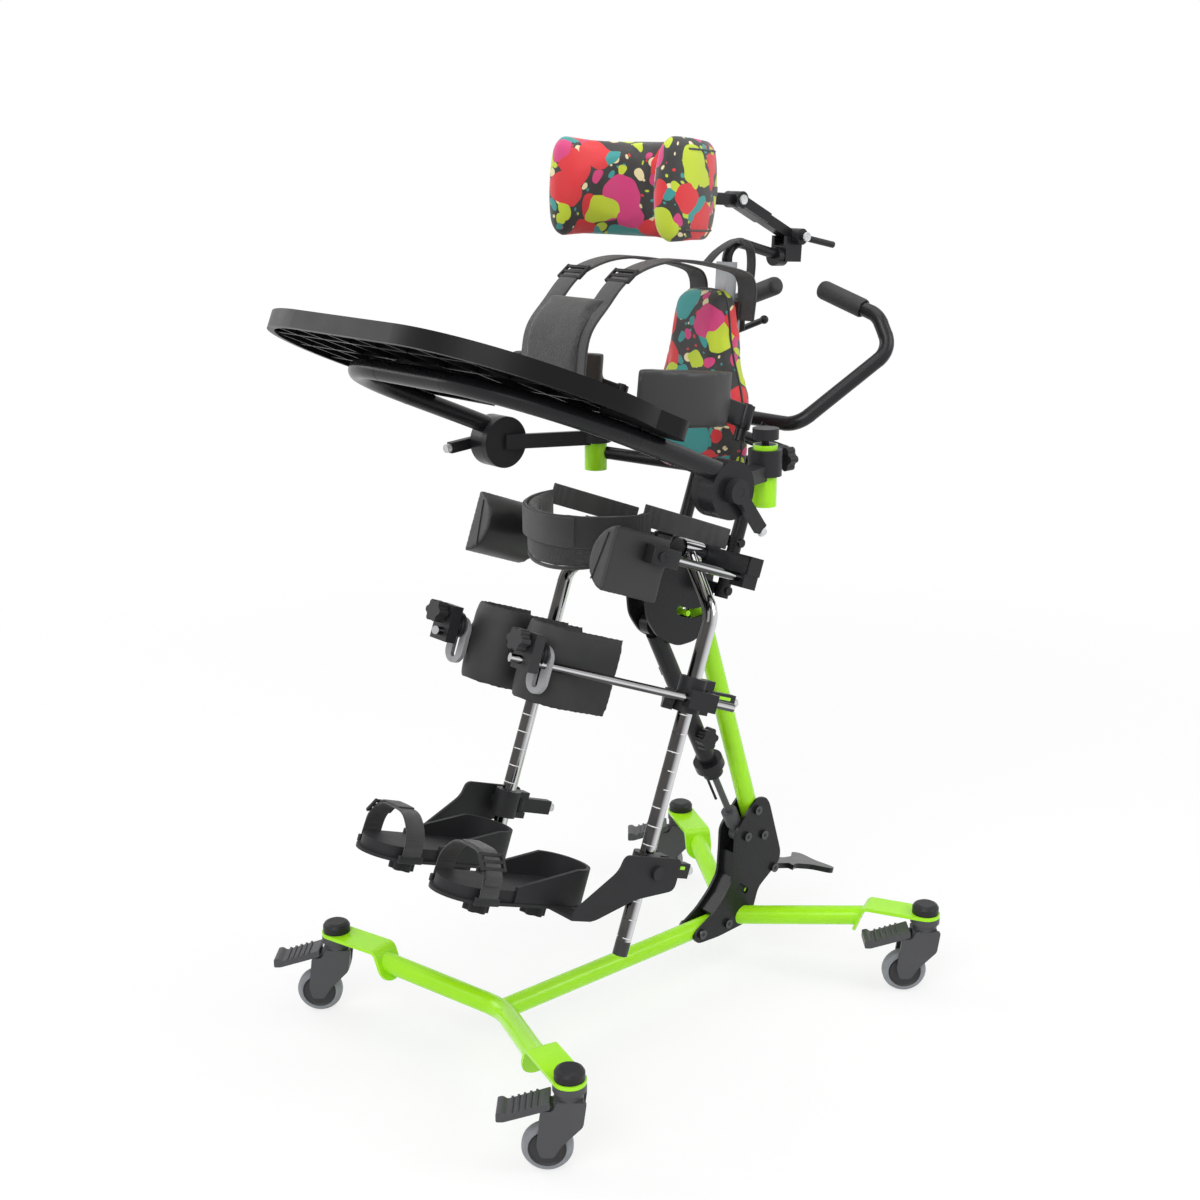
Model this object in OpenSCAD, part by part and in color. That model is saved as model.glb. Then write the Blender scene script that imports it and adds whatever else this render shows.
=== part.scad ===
// Paediatric standing frame: wheeled base, leaning mast, tilting body support with
// legs, footplates, pads, tray and head support.
// +Z is up, the floor is z = 0, the person stands facing -Y, their left is +X.

/* [Base] */
// Sideways distance from the middle to each caster stem
half_track = 256; // [235:1:290]
// Fore and aft distance from the base centre to each caster stem
half_base = 337; // [315:1:370]
// Distance of the base centre behind the origin
base_back = 33; // [20:1:50]
// Distance of the middle plane to the left of the origin
base_side = 21; // [10:1:30]
// Outside diameter of the main tube, the arms and the mast
frame_d = 28; // [25:1:32]
// Wall of the frame tube
frame_wall = 2; // [1.5:0.5:3]
// Height of the main tube centre above the floor
main_z = 70; // [66:1:76]
// Distance of the front joint ahead of the base centre
front_joint = 239; // [225:1:255]
// Distance of the rear joint behind the base centre
rear_joint = 195; // [188:1:202]
// Width of the strap over each caster
strap_w = 42; // [38:1:48]
// Thickness of the strap
strap_t = 5; // [4:0.5:7]
// Length of the flat strap from the stem to its bend
strap_len = 80; // [70:1:90]
// Straight length of the flange below the bend
flange_len = 18; // [12:1:24]

/* [Casters] */
// Wheel diameter
wheel_d = 63.5; // [58:0.5:66]
// Wheel width
wheel_w = 22; // [18:1:24]
// Trail of the axle behind the stem
caster_trail = 27; // [24:1:32]
// Height of the fork shoulder above the floor
caster_h = 116.7; // [112:0.1:125]
// Diameter of the swivel stem
stem_d = 12; // [10:1:14]
// Diameter of the wheel axle
axle_d = 8; // [6:1:10]
// Diameter of the round cap on each stem
cap_d = 38; // [34:1:42]
// Height of the round cap
cap_h = 15; // [12:1:20]
// Width of the brake pedal
brake_w = 36; // [32:1:42]
// Reach of the brake pedal from the stem
brake_reach = 88; // [80:1:96]

/* [Mast and side plates] */
// Distance of the tilt pivot behind the base centre
pivot_y = 97; // [90:1:104]
// Height of the tilt pivot
pivot_z = 632; // [600:1:660]
// Distance of the mast foot behind the base centre
mast_foot_y = 252; // [246:1:258]
// Height of the mast foot
mast_foot_z = 172; // [165:1:180]
// Diameter of the tilt pivot pin
pivot_d = 12; // [10:1:14]
// Thickness of each side plate
plate_t = 4; // [3:0.5:6]
// Length of the side plates
plate_len = 183; // [176:1:190]
// Height of the side plates
plate_h = 201; // [195:1:210]
// Shank diameter of the frame bolts
bolt_d = 8; // [6:1:10]
// Length of the foot pedal
pedal_len = 125; // [110:1:140]
// Width of the foot pedal at its tip
pedal_w = 84; // [60:1:100]

/* [Gas spring] */
// Distance of the lower pivot behind the base centre
gas_low_y = 209; // [206:1:212]
// Height of the lower pivot
gas_low_z = 200; // [196:1:204]
// Upper pin ahead of the tilt pivot, in the tilting frame
gas_pin_y = -41; // [-44:1:-38]
// Upper pin below the tilt pivot, in the tilting frame
gas_pin_z = -90; // [-94:1:-86]
// Diameter of the piston rod and of both pins
gas_rod_d = 10; // [8:1:12]
// Diameter of the cylinder
gas_tube_d = 26; // [22:1:28]

/* [Body support] */
// Lean of the tilting frame behind vertical
lean = 20; // [10:1:30]
// Thickness of the hip plates
hip_t = 4; // [3:0.5:6]
// Half length of the hip beam
beam_half = 165; // [160:1:175]
// Diameter of the back tubes
back_d = 19; // [16:1:22]
// Half spacing of the back tubes
back_half = 53; // [48:1:60]
// Distance of the back tubes behind the tilt pivot
back_y = 24; // [20:1:28]
// Height of the push handle root above the tilt pivot
handle_z = 220; // [210:1:235]
// Diameter of the push handle tube
handle_d = 20; // [18:1:22]
// Diameter of the foam grips
grip_d = 27; // [25:1:32]
// Lean of the back post ahead of the back tubes
post_lean = 17; // [10:1:20]
// Width of the square back post
post_w = 20; // [18:1:24]
// Length of the back post above its hinge
post_len = 260; // [240:1:262]
// Diameter of the head support rod
head_rod_d = 14; // [12:1:15]

/* [Legs] */
// Half spacing of the leg tubes
leg_half = 145; // [140:1:155]
// Distance of the leg tubes ahead of the tilt pivot
leg_y = -85; // [-88:1:-84]
// Lower end of the leg tubes
leg_low = -512; // [-525:1:-500]
// Diameter of the leg tubes
leg_d = 20; // [18:1:22]
// Half spacing of the leg hinges
leg_hinge_half = 72; // [66:1:78]
// Height of the leg hinges
leg_hinge_z = 20; // [18:1:22]
// Height of the knee clamps
knee_z = -161; // [-175:1:-150]
// Diameter of the knee rods
knee_rod_d = 11; // [9:1:12]
// Height of the foot clamps
foot_z = -393; // [-405:1:-380]
// Height of the foot plates
sole_z = -462; // [-475:1:-455]
// Diameter of the hip pad rods
hip_rod_d = 12; // [10:1:14]

/* [Tray] */
// Half width of the tray
tray_half = 286; // [276:1:300]
// Front edge of the tray
tray_front = -645; // [-680:1:-640]
// Rear edge of the tray
tray_rear = -405; // [-415:1:-395]
// Corner radius at the front of the tray
tray_r = 185; // [150:1:195]
// Thickness of the tray at its rim
tray_t = 22; // [18:1:28]
// Diameter of the tray frame tube
tray_tube_d = 25; // [22:1:28]
// Half width of the tray frame
tray_tube_half = 226; // [216:1:236]
// Height of the tray frame
tray_tube_z = 116; // [114:1:120]
// Distance of the tray hubs ahead of the tilt pivot
hub_y = -205; // [-210:1:-200]
// Height of the tray hubs
hub_z = 100; // [97:1:103]
// Diameter of the tray hubs
hub_d = 72; // [66:1:78]
// Outside diameter of the tray sockets
socket_d = 32; // [30:1:34]
// Length of the tray sockets
socket_len = 80; // [70:1:90]

/* [Pads] */
// Height of the knee cuffs
cuff_h = 104; // [90:1:110]
// Length of the hip pads
hip_pad_len = 98; // [90:1:106]
// Height of the hip pads
hip_pad_h = 84; // [76:1:92]
// Thickness of the hip pads at the crown
hip_pad_t = 38; // [30:1:44]
// Length of the chest pads
chest_len = 164; // [150:1:170]
// Height of the chest pads
chest_h = 72; // [64:1:84]
// Height of the back cushion
back_pad_h = 260; // [240:1:270]
// Half width of the back cushion at its foot
back_pad_half = 90; // [80:1:95]
// Half width of the head pad
head_half = 118; // [108:1:126]
// Height of the head pad
head_h = 130; // [116:1:140]

/* [Hidden] */
$fn = 48;

// colours
green = [0.45, 0.86, 0.05];
black = [0.08, 0.08, 0.09];
grey = [0.45, 0.46, 0.48];
steel = [0.78, 0.79, 0.80];
cloth = [0.12, 0.12, 0.13];
print_cloth = [0.75, 0.15, 0.25];

// clearances and the overrun of every cut
fit = 0.05;
seat = 0.2;
rub = 0.3;
over = 1;
free_gap = 1;
// the slight bead at each end of a tube bend
bead_h = 0.15;
bead_half = 2;
// how far the welded ball of the rear joint stands proud
weld_h = 1.5;

// strap bend, flange slope, plan angles of the straps and the tube bends
strap_bend = 8;
flange_slope = 70;
strap_yaw_front = 15;
strap_yaw_rear = 26;
v_bend = 60;
strap_z = caster_h + rub;
strap_top = strap_z + strap_t;
flange_mid_share = 0.75;
bend_steps = 8;

// caster fork, in the caster's own frame with the stem at x = 0
caster_yaw = -132;
shoulder_r = 21;
shoulder_h = 9;
shoulder_neck_r = 17;
fork_top = caster_h - 2 * shoulder_h;
cheek_t = 5;
axle_z = wheel_d / 2;
cheek_in = wheel_w / 2 + free_gap;
brake_pin_r = 3;
brake_barrel_r = 6;
brake_x = caster_trail - free_gap;
brake_drop = 18;
brake_z = fork_top - brake_drop;
tyre_clear = 3;
bridge_z = wheel_d + tyre_clear;
tyre_edge = 5;
hub_dish = 3;
tyre_t = 8;
stem_up = 6;
tread_count = 5;
tread_from = 38;
tread_to = 68;
tread_t = 3;
brake_dip = 7;

// side plates and the web between them
plate_x = frame_d / 2 + seat;
plate_y = 102;
plate_z = 54;
plate_round = 9;
plate_shares = [
  [0.05, 0.01], [0.28, 0], [0.61, 0.02], [0.66, 0.05], [0.74, 0.27], [0.985, 0.42], [1, 0.50],
  [0.85, 0.93], [0.80, 0.99], [0.70, 1], [0.58, 0.90], [0.46, 0.78], [0.455, 0.62], [0.44, 0.42],
  [0.34, 0.30], [0.20, 0.19], [0.02, 0.10], [0, 0.06]
];
web_shares = [
  [0.245, 0.185], [0.38, 0.29], [0.475, 0.41], [0.49, 0.60], [0.52, 0.60], [0.51, 0.40], [0.40, 0.26],
      [0.26, 0.155]
];
plate_window_shares = [[0.49, 0.33], [0.60, 0.25], [0.63, 0.29], [0.52, 0.37]];
mast_lean = atan2(mast_foot_y - pivot_y, pivot_z - mast_foot_z);
mast_len = norm([mast_foot_y - pivot_y, pivot_z - mast_foot_z]);
mast_bolts = [22, 68];
main_bolts = [118, 172];
bolt_head_r = 7;
bolt_head_h = 4.5;
boss_r = 17;
boss_half = 15;
stop_r = 64;
stop_pin_r = 4;
stop_arm_half = 6;

// foot pedal
pedal_y = 270;
pedal_z = 132;
pedal_barrel_r = 8;
pedal_pin_r = 4;
pedal_slope = 16;
pedal_t = 8;
pedal_root_w = 2 * (plate_x - free_gap);
pedal_shares = [
  [0.08, 1], [0.45, 0.34], [0.70, 0.50], [0.88, 1], [0.98, 0.92], [1, 0.70], [0.955, 0], [1, -0.70],
  [0.98, -0.92], [0.88, -1], [0.70, -0.50], [0.45, -0.34], [0.08, -1]
];

// gas spring
gas_eye_r = 12;
gas_eye_half = 8;
gas_slack = 3.2;
boot_r = 12;
boot_from = 20;
boot_to = 46;
tube_from = 150;
tube_to = 388;
rod_to = 230;
cavity_r = 7.5;
cavity_to = 330;
flange_r = 22;
flange_h = 14;
knob_r = 17;
knob_h = 14;
gas_knob_at = 197;
cable_r = 2;
cable_off = 20;
cable_from = 62;
cable_to = 322;

// hip bracket
hip_x = boss_half + free_gap;
hip_out = hip_x + hip_t;
hip_w = 140;
hip_h = 175;
hip_low = -112;
hip_fore = -88;
hip_round = 12;
hip_shares = [
  [0.87, 1], [0.70, 1], [0.53, 0.85], [0.18, 0.85], [0.15, 0.65], [0, 0.36], [0.13, 0.15], [0.34, 0.035],
  [0.63, 0], [0.87, 0.08], [1, 0.26], [0.94, 0.47], [0.87, 0.58]
];
slot_half = 6.5;
slot_from = -12;
slot_to = 37;
spacer_r = 8;
spacer_low = -20;
spacer_high = 48;
bridge_fore = 10;
bridge_low = 27;
bridge_high = 60;
beam_fore = -60;
beam_aft = -36;
beam_low = 8;
beam_high = 32;
leg_pin_r = 7;
leg_barrel_r = 14;
leg_barrel_len = 38;
leg_head_r = 12;
leg_head_h = 4;
hip_rod_x = 150;
hip_rod_z = 2;
hip_rod_len = 158;
hip_rod_rear = -42;
holder_half = 12;

// back frame and push handle
back_low = -31;
back_round = 30;
handle_out_x = 105;
handle_elbow = [165, 101, 352];
handle_root = [137, 90, 394];
handle_tip = [46, 71.5, 418.5];
handle_bend = 32;
handle_wall = 2;
grip_root_share = 0.75;
screw_r = 6;
screw_h = 3;
back_hinge_y = -4;
back_hinge_z = 160;
back_pin_r = 5;
lug_r = 11;
lug_in = 14;
lug_t = 6;
cross_r = 8;
chest_arm_d = 16;
chest_arm_z = 180;
chest_hinge_x = 122;
chest_hinge_y = -96;
chest_pin_r = 6;
chest_barrel_r = 10;
chest_barrel_len = 32;
chest_pitch = 14;
chest_barrel_low = chest_arm_z + chest_arm_d / 2 + rub;
chest_barrel_high = chest_barrel_low + chest_barrel_len;
tray_arm_d = 18;
arm_down = 14;
tray_arm_z = 140;
lever_pivot = [-132, 80, 338];
lever_tip = [-58, 80, 370];
lever_d = 9;
lever_pin_r = 3;
lever_barrel_r = 8;
lever_barrel_half = 8;
lever_mount_share = 0.82;
lever_mount_r = 15;

// tray sockets, mounts and hubs
socket_x = 165;
socket_y = -78;
socket_z = 137;
socket_wall = 2.5;
clamp_r = 22;
clamp_h = 34;
clamp_up = 6;
hub_t = 10;
tray_pitch = 2.5;
hub_disc = tray_tube_d + 2 * seat;
hub_face = tray_tube_half + tray_tube_d / 2 + seat;
hub_out = hub_face - hub_disc;
hub_in = hub_out - hub_t - rub;
hub_bolt_r = 6;
hub_lever_t = 12;
hub_lever_len = 66;
hub_lever_w = 15;
hub_lever_back = 148;
hub_lever_fore = 25;
button_r = 5;
button_h = 6;
tray_bend = 160;
tray_tube_front = -530;
tray_low = tray_tube_z + tray_tube_d / 2 + seat;
tray_top_z = tray_low + tray_t;
tray_rear_half = 256;
tray_rim = 9;
tray_skin = 5;
tray_lip = 3;
tray_cut_r = 120;
rib_t = 4;
rib_gap = 58;
elbow_x = 246;
elbow_half = 26;
elbow_aft = -300;
elbow_fore = -420;
tray_aft = elbow_aft - elbow_half - tray_lip;

// back post, cushions and head support, in the post's own frame
bore_from = 110;
plate_fore = 4;
back_plate_half = 40;
pad_gap = 0.3;
back_pad_low = -28;
back_pad_t = 44;
head_rod_low = 150;
head_rod_up = 290;
head_rod_back = [0, 108, 268];
head_rod_bend = 22;
head_a = [0, 121, 296];
head_b = [0, 9.5, 342];
head_pin_r = 5;
head_barrel_r = 11;
head_barrel_half = 8.7;
head_ear_in = 9;
head_ear_t = 5;
head_bar_h = 14;
collar_r = 13;
collar_len = 26;
head_lever_len = 64;
head_pad_t = 42;
head_pad_mid = -195;
head_wing = 12;
head_pad_z = 350;
stem_half = 8;

// legs
leg_bend = 35;
leg_elbow_z = -52;
leg_wall = 2;
clamp_wall = 8;
knee_clamp_h = 46;
knee_rod_off = 20;
clamp_knob_turn = 40;
knee_rod_turn = 18.9;
knee_rod_fore = 270;
knee_rod_aft = 50;
knee_rod_drop = -3;
holder_w = 24;
holder_len = 40;
lever_len = 56;
lever_w = 12;
lever_h = 20;
lever_hub_r = 8;
lever_hinge_r = 4;
mount_back = 22;
mount_t = 16;
mount_w = 34;
mount_up = 24;
mount_down = 12;
mount_knob_r = 15;
mount_knob_h = 15;
bellows_r = 17;
bellows_step = 5;
bellows_count = 3;
oval_w = 36;
oval_drop = 62;
oval_t = 6;
oval_slot = 10;
cuff_t = 13;
cuff_wing = 70;
cuff_mid = 8.7;
cuff_rod_out = 14;
cuff_boss = 17;
cuff_boss_half = 15;
cuff_boss_side = 2;
cuff_tuck = 5;

// feet
foot_clamp_h = 38;
arm_t = 4;
arm_gap = 3;
arm_round = 10;
arm_len = 100;
arm_shares = [
  [0.42, 0.30], [0.42, -0.32], [-0.25, -0.54], [-0.90, -1], [-1.30, -1], [-1.20, -0.75], [-0.65,
      -0.03], [-0.61, 0.28]
];
arm_foot_share = 0.93;
arm_toe_share = 1.27;
foot_bolt_r = 5;
foot_x = 81;
sole_half = 44;
sole_t = 4;
sole_len = 232;
sole_aft = -130;
insole_t = 16;
heel_r = 42.5;
heel_t = 5;
heel_h = 48;
heel_fore = 96;
heel_low = 20;
heel_y = sole_aft - sole_half;
foot_knobs = [-292, -196];
foot_knob_r = 17;
foot_knob_h = 13;
foot_stud_r = 5;
foot_stud_h = 8;

// pads
hip_pad_x = 140;
hip_pad_fore = -280;
hip_pad_z = -16;
hip_block = 24;
chest_t = 36;
chest_x = 130;
chest_fore = -294;
chest_z = 199;
belt_r = 86;
belt_t = 9;
belt_h = 74;
belt_y = -180;
belt_z = 19;
belt_flap = 30;
strap_band_w = 34;
strap_band_t = 5;
strap_band_x = 46;
strap_shares = [
  [-0.024, 0.71], [-0.024, 0.90], [-0.13, 0.97], [-0.50, 1.01], [-0.75, 0.94], [-0.89, 0.79], [-0.98,
      0.65], [-1, 0.43]
];
strap_span = 300;
panel_share = 0.86;
chest_panel_t = 12;

// vector helpers
function unit(v) = v / norm(v);
function mirror_x(p, s) = [s * p[0], p[1], p[2]];
function corner(a, p, b, n) =
  [for (i = [0 : n]) let (k = i / n) (1 - k) * (1 - k) * a + 2 * k * (1 - k) * p + k * k * b];
function rounded(pts, cut, n = 4) = [
  for (i = [0 : len(pts) - 1])
    let (p = pts[i], q = pts[(i + len(pts) - 1) % len(pts)], r = pts[(i + 1) % len(pts)])
    let (a = min(cut, norm(q - p) / 2.2), b = min(cut, norm(r - p) / 2.2))
    each corner(p + a * unit(q - p), p, p + b * unit(r - p), n)
];
function spread(shares, w, h) = [for (s = shares) [s[0] * w, s[1] * h]];
// a band of thickness t about a path, as an outline
function side_of(pts, i) =
  let (a = pts[max(i - 1, 0)], b = pts[min(i + 1, len(pts) - 1)], d = unit(b - a)) [-d[1], d[0]];
function band(pts, t) = concat(
  [for (i = [0 : len(pts) - 1]) pts[i] + side_of(pts, i) * t / 2],
  [for (i = [len(pts) - 1 : -1 : 0]) pts[i] - side_of(pts, i) * t / 2]
);
function smooth_path(pts, n = 4) = concat(
  [pts[0]],
  [
    for (i = [1 : len(pts) - 2])
      let (arc = corner((pts[i - 1] + pts[i]) / 2, pts[i], (pts[i] + pts[i + 1]) / 2, n))
      for (k = [0 : n - 1]) arc[k]
  ],
  [pts[len(pts) - 1]]
);
// a point of the tilting frame, in the part's frame
function seat_point(p) = [
  base_side + p[0],
  base_back + pivot_y + p[1] * cos(lean) + p[2] * sin(lean),
  pivot_z - p[1] * sin(lean) + p[2] * cos(lean)
];

// placement
module on_base() {
  translate([base_side, base_back, 0]) children();
}
module on_seat() {
  translate([base_side, base_back + pivot_y, pivot_z]) rotate([-lean, 0, 0]) children();
}
module on_tray() {
  on_seat() translate([0, hub_y, hub_z]) rotate([-tray_pitch, 0, 0]) translate([0, -hub_y, -hub_z])
      children();
}
module on_post() {
  on_seat() translate([0, back_hinge_y, back_hinge_z]) rotate([post_lean, 0, 0]) children();
}
module on_caster(side, end) {
  translate([base_side + side * half_track, base_back + end * half_base, 0]) rotate([0, 0, caster_yaw])
      children();
}
module on_side(side) {
  if (side > 0) children();
  else mirror([1, 0, 0]) children();
}
// stands the z axis along the line between two points
module along(a, b) {
  d = unit(b - a);
  translate(a) rotate([0, acos(d[2]), atan2(d[1], d[0])]) children();
}
module rod(a, b, r) {
  along(a, b) cylinder(r = r, h = norm(b - a));
}
module across(r, x0, x1, y, z) {
  translate([x0, y, z]) rotate([0, 90, 0]) cylinder(r = r, h = x1 - x0);
}
module endlong(r, y0, y1, x, z) {
  translate([x, y0, z]) rotate([-90, 0, 0]) cylinder(r = r, h = y1 - y0);
}
module upright(r, z0, z1, x, y) {
  translate([x, y, z0]) cylinder(r = r, h = z1 - z0);
}
module block(xs, ys, zs) {
  translate([xs[0], ys[0], zs[0]]) cube([xs[1] - xs[0], ys[1] - ys[0], zs[1] - zs[0]]);
}
// an outline in the side plane, given thickness along x
module sheet(x, t) {
  translate([x, 0, 0]) rotate([90, 0, 90]) linear_extrude(t) children();
}
// one bend of a round rod between two directions
module elbow(p, u, v, bend, r) {
  turn = acos(u * v);
  n = unit(v - (u * v) * u);
  w = cross(u, n);
  c = p - u * bend * tan(turn / 2) + n * bend;
  multmatrix([
    [-n[0], u[0], w[0], c[0]],
    [-n[1], u[1], w[1], c[1]],
    [-n[2], u[2], w[2], c[2]],
    [0, 0, 0, 1]
  ]) rotate_extrude(angle = turn) translate([bend, 0]) circle(r = r);
}
module bead(p, u, r) {
  rod(p - u * bead_half, p + u * bead_half, r + bead_h);
}
// a round rod along points, with bends between the straight runs
module bent_rod(pts, bend, r, extra = 0) {
  last = len(pts) - 1;
  for (i = [0 : last - 1]) {
    u = unit(pts[i + 1] - pts[i]);
    before = i == 0 ? -extra : bend * tan(acos(unit(pts[i] - pts[i - 1]) * u) / 2);
    after = i == last - 1 ? -extra : bend * tan(acos(u * unit(pts[i + 2] - pts[i + 1])) / 2);
    rod(pts[i] + u * before, pts[i + 1] - u * after, r);
    if (i > 0) bead(pts[i] + u * before, u, r);
    if (i < last - 1) {
      bead(pts[i + 1] - u * after, u, r);
      elbow(pts[i + 1], u, unit(pts[i + 2] - pts[i + 1]), bend, r);
    }
  }
}
// a lobed hand knob standing on the xy plane
lobe_count = 6;
lobe_share = 0.30;
core_share = 0.80;
module knob(r, h) {
  linear_extrude(h) union() {
    circle(r = r * core_share);
    for (i = [0 : lobe_count - 1])
      rotate(i * 360 / lobe_count) translate([r * (1 - lobe_share), 0]) circle(r = r * lobe_share);
  }
}
module oblong(w, len) {
  for (s = [0, 1]) translate([0, s * (len - w)]) circle(r = w / 2);
  translate([-w / 2, 0]) square([w, len - w]);
}

// base frame
function strap_dir(side, end) =
  let (yaw = end < 0 ? strap_yaw_front : strap_yaw_rear) [-side * cos(yaw), -end * sin(yaw), 0];
function arm_end(side, end) =
  let (out = strap_len + (strap_bend + strap_t / 2) * sin(flange_slope)
      + flange_len * flange_mid_share * cos(flange_slope))
  let (up = strap_z - strap_bend + (strap_bend + strap_t / 2) * cos(flange_slope)
    - flange_len * flange_mid_share * sin(flange_slope))
  [side * half_track, end * half_base, 0] + out * strap_dir(side, end) + [0, 0, up];
// the tubes; each arm ends on the middle plane of its flange
module base_runs(r, extra) {
  rear = [0, rear_joint, main_z];
  difference() {
    union() {
      bent_rod([arm_end(-1, -1), [0, -front_joint, main_z], arm_end(1, -1)], v_bend, r, extra);
      rod([0, -front_joint, main_z], rear, r - bead_h);
      translate(rear) sphere(r = r + weld_h);
      for (side = [-1, 1]) rod(rear, arm_end(side, 1) + extra * unit(arm_end(side, 1) - rear), r);
    }
    for (side = [-1, 1]) for (end = [-1, 1]) translate(arm_end(side, end))
      rotate([0, 0, atan2(strap_dir(side, end)[1], strap_dir(side, end)[0])]) rotate([0, flange_slope, 0])
        block([-strap_w, strap_w], [-strap_w, strap_w], [-strap_w, 0]);
  }
}
module strap(side, end) {
  d = strap_dir(side, end);
  mid_r = strap_bend + strap_t / 2;
  arc = [for (i = [0 : bend_steps]) let (a = flange_slope * i / bend_steps)
    [strap_len + mid_r * sin(a), strap_z - strap_bend + mid_r * cos(a)]];
  tip = arc[bend_steps] + flange_len * [cos(flange_slope), -sin(flange_slope)];
  translate([side * half_track, end * half_base, 0]) rotate([0, 0, atan2(d[1], d[0])]) difference() {
    union() {
      upright(strap_w / 2, strap_z, strap_top, 0, 0);
      translate([0, strap_w / 2, 0]) rotate([90, 0, 0]) linear_extrude(strap_w)
        polygon(band(concat([[0, strap_z + strap_t / 2]], arc, [tip]), strap_t));
      translate([tip[0], 0, tip[1]]) rotate([0, flange_slope, 0])
        upright(strap_w / 2 - seat, seat - strap_t / 2, strap_t / 2 - seat, 0, 0);
    }
    upright(stem_d / 2 + fit, strap_z - over, strap_top + over, 0, 0);
  }
}
module base_frame() {
  color(green) on_base() difference() {
    union() {
      base_runs(frame_d / 2, frame_d / 2);
      for (side = [-1, 1]) for (end = [-1, 1]) strap(side, end);
    }
    base_runs(frame_d / 2 - frame_wall, -2 * strap_t);
    for (y = main_bolts) across(bolt_d / 2 + fit, -frame_d, frame_d, y, main_z);
  }
}
module caster_caps() {
  color(black) for (side = [-1, 1]) for (end = [-1, 1])
    translate([base_side + side * half_track, base_back + end * half_base, strap_top]) rotate_extrude()
      polygon([
        [stem_d, 0], [cap_d / 2, 0], [cap_d / 2, cap_h * 0.62], [cap_d * 0.44, cap_h * 0.86],
        [cap_d * 0.34, cap_h], [0, cap_h], [0, stem_up + free_gap], [stem_d, stem_up + free_gap]
      ]);
}

// casters
module cheek_outline() {
  polygon(rounded([
    [-shoulder_r, fork_top], [-shoulder_r * 0.8, bridge_z], [caster_trail * 0.35, axle_z + axle_d],
    [caster_trail - axle_d, axle_z - axle_d], [caster_trail + axle_d, axle_z - axle_d],
    [caster_trail + axle_d * 1.6, axle_z + axle_d], [brake_x + brake_barrel_r * 1.6,
        brake_z - brake_barrel_r],
    [brake_x + brake_barrel_r * 1.4, brake_z + brake_barrel_r], [brake_x - brake_barrel_r, brake_z
        + brake_barrel_r],
    [shoulder_r * 0.7, fork_top]
  ], axle_d / 2));
}
module fork(side, end) {
  color(black) on_caster(side, end) {
    upright(stem_d / 2, fork_top, strap_top + stem_up, 0, 0);
    upright(shoulder_r, fork_top + shoulder_h, caster_h, 0, 0);
    upright(shoulder_neck_r, fork_top - over, fork_top + shoulder_h, 0, 0);
    for (s = [-1, 1]) translate([0, s * (cheek_in + cheek_t / 2) + cheek_t / 2, 0])
      rotate([90, 0, 0]) linear_extrude(cheek_t) cheek_outline();
    block([-shoulder_r * 0.8, brake_x - brake_barrel_r - free_gap], [-cheek_in - over, cheek_in
        + over], [bridge_z, fork_top]);
    endlong(axle_d / 2, -cheek_in - cheek_t, cheek_in + cheek_t, caster_trail, axle_z);
    endlong(brake_pin_r, -cheek_in - cheek_t, cheek_in + cheek_t, brake_x, brake_z);
  }
}
module wheel(side, end) {
  rim_r = wheel_d / 2 - tyre_t;
  color(grey) on_caster(side, end) translate([caster_trail, 0, axle_z]) rotate([90, 0, 0]) rotate_extrude()
    polygon([
      [axle_d / 2 + fit, -wheel_w / 2], [axle_d, -wheel_w / 2], [axle_d, hub_dish - wheel_w / 2],
      [rim_r - hub_dish, hub_dish - wheel_w / 2], [rim_r, free_gap - wheel_w / 2],
      [wheel_d / 2 - tyre_edge, free_gap - wheel_w / 2], [wheel_d / 2 - tyre_edge * 0.3,
          tyre_edge * 0.9 - wheel_w / 2],
      [wheel_d / 2, tyre_edge * 1.5 - wheel_w / 2],
      [wheel_d / 2, wheel_w / 2 - tyre_edge * 1.5], [wheel_d / 2 - tyre_edge * 0.3,
          wheel_w / 2 - tyre_edge * 0.9],
      [wheel_d / 2 - tyre_edge, wheel_w / 2 - free_gap], [rim_r, wheel_w / 2 - free_gap],
      [rim_r - hub_dish, wheel_w / 2 - hub_dish], [axle_d, wheel_w / 2 - hub_dish], [axle_d, wheel_w / 2],
      [axle_d / 2 + fit, wheel_w / 2]
    ]);
}
module brake(side, end) {
  neck_half = cheek_in - rub;
  low = brake_z + brake_barrel_r + 3 * free_gap;
  color(black) on_caster(side, end) difference() {
    union() {
      endlong(brake_barrel_r, -neck_half, neck_half, brake_x, brake_z);
      block([brake_x - brake_barrel_r, brake_x + brake_barrel_r], [-neck_half, neck_half], [brake_z,
          low + over]);
      translate([0, brake_w / 2, 0]) rotate([90, 0, 0]) linear_extrude(brake_w) polygon(rounded([
        [shoulder_r + 2 * free_gap, low], [shoulder_r + 2 * free_gap, low + 2 * tyre_edge],
        [brake_reach * 0.86, low - brake_dip], [brake_reach * 0.92, low - brake_dip + tyre_edge * 0.8],
        [brake_reach, low - brake_dip + tyre_edge * 0.5], [brake_reach, low - brake_dip - 2 * tyre_edge],
        [brake_reach * 0.90, low - brake_dip - 2 * tyre_edge], [brake_reach * 0.52, low - brake_dip]
      ], tyre_edge / 2));
      for (i = [0 : tread_count - 1]) {
        x = tread_from + (tread_to - tread_from) * i / (tread_count - 1);
        up = low - brake_dip + (2 * tyre_edge + brake_dip) * (brake_reach * 0.86 - x)
            / (brake_reach * 0.86 - shoulder_r - 2 * free_gap);
        block([x, x + tread_t], [-brake_w / 2, brake_w / 2], [up - tread_t, up + tread_t / 2]);
      }
    }
    endlong(brake_pin_r + fit, -brake_w, brake_w, brake_x, brake_z);
  }
}

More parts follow.
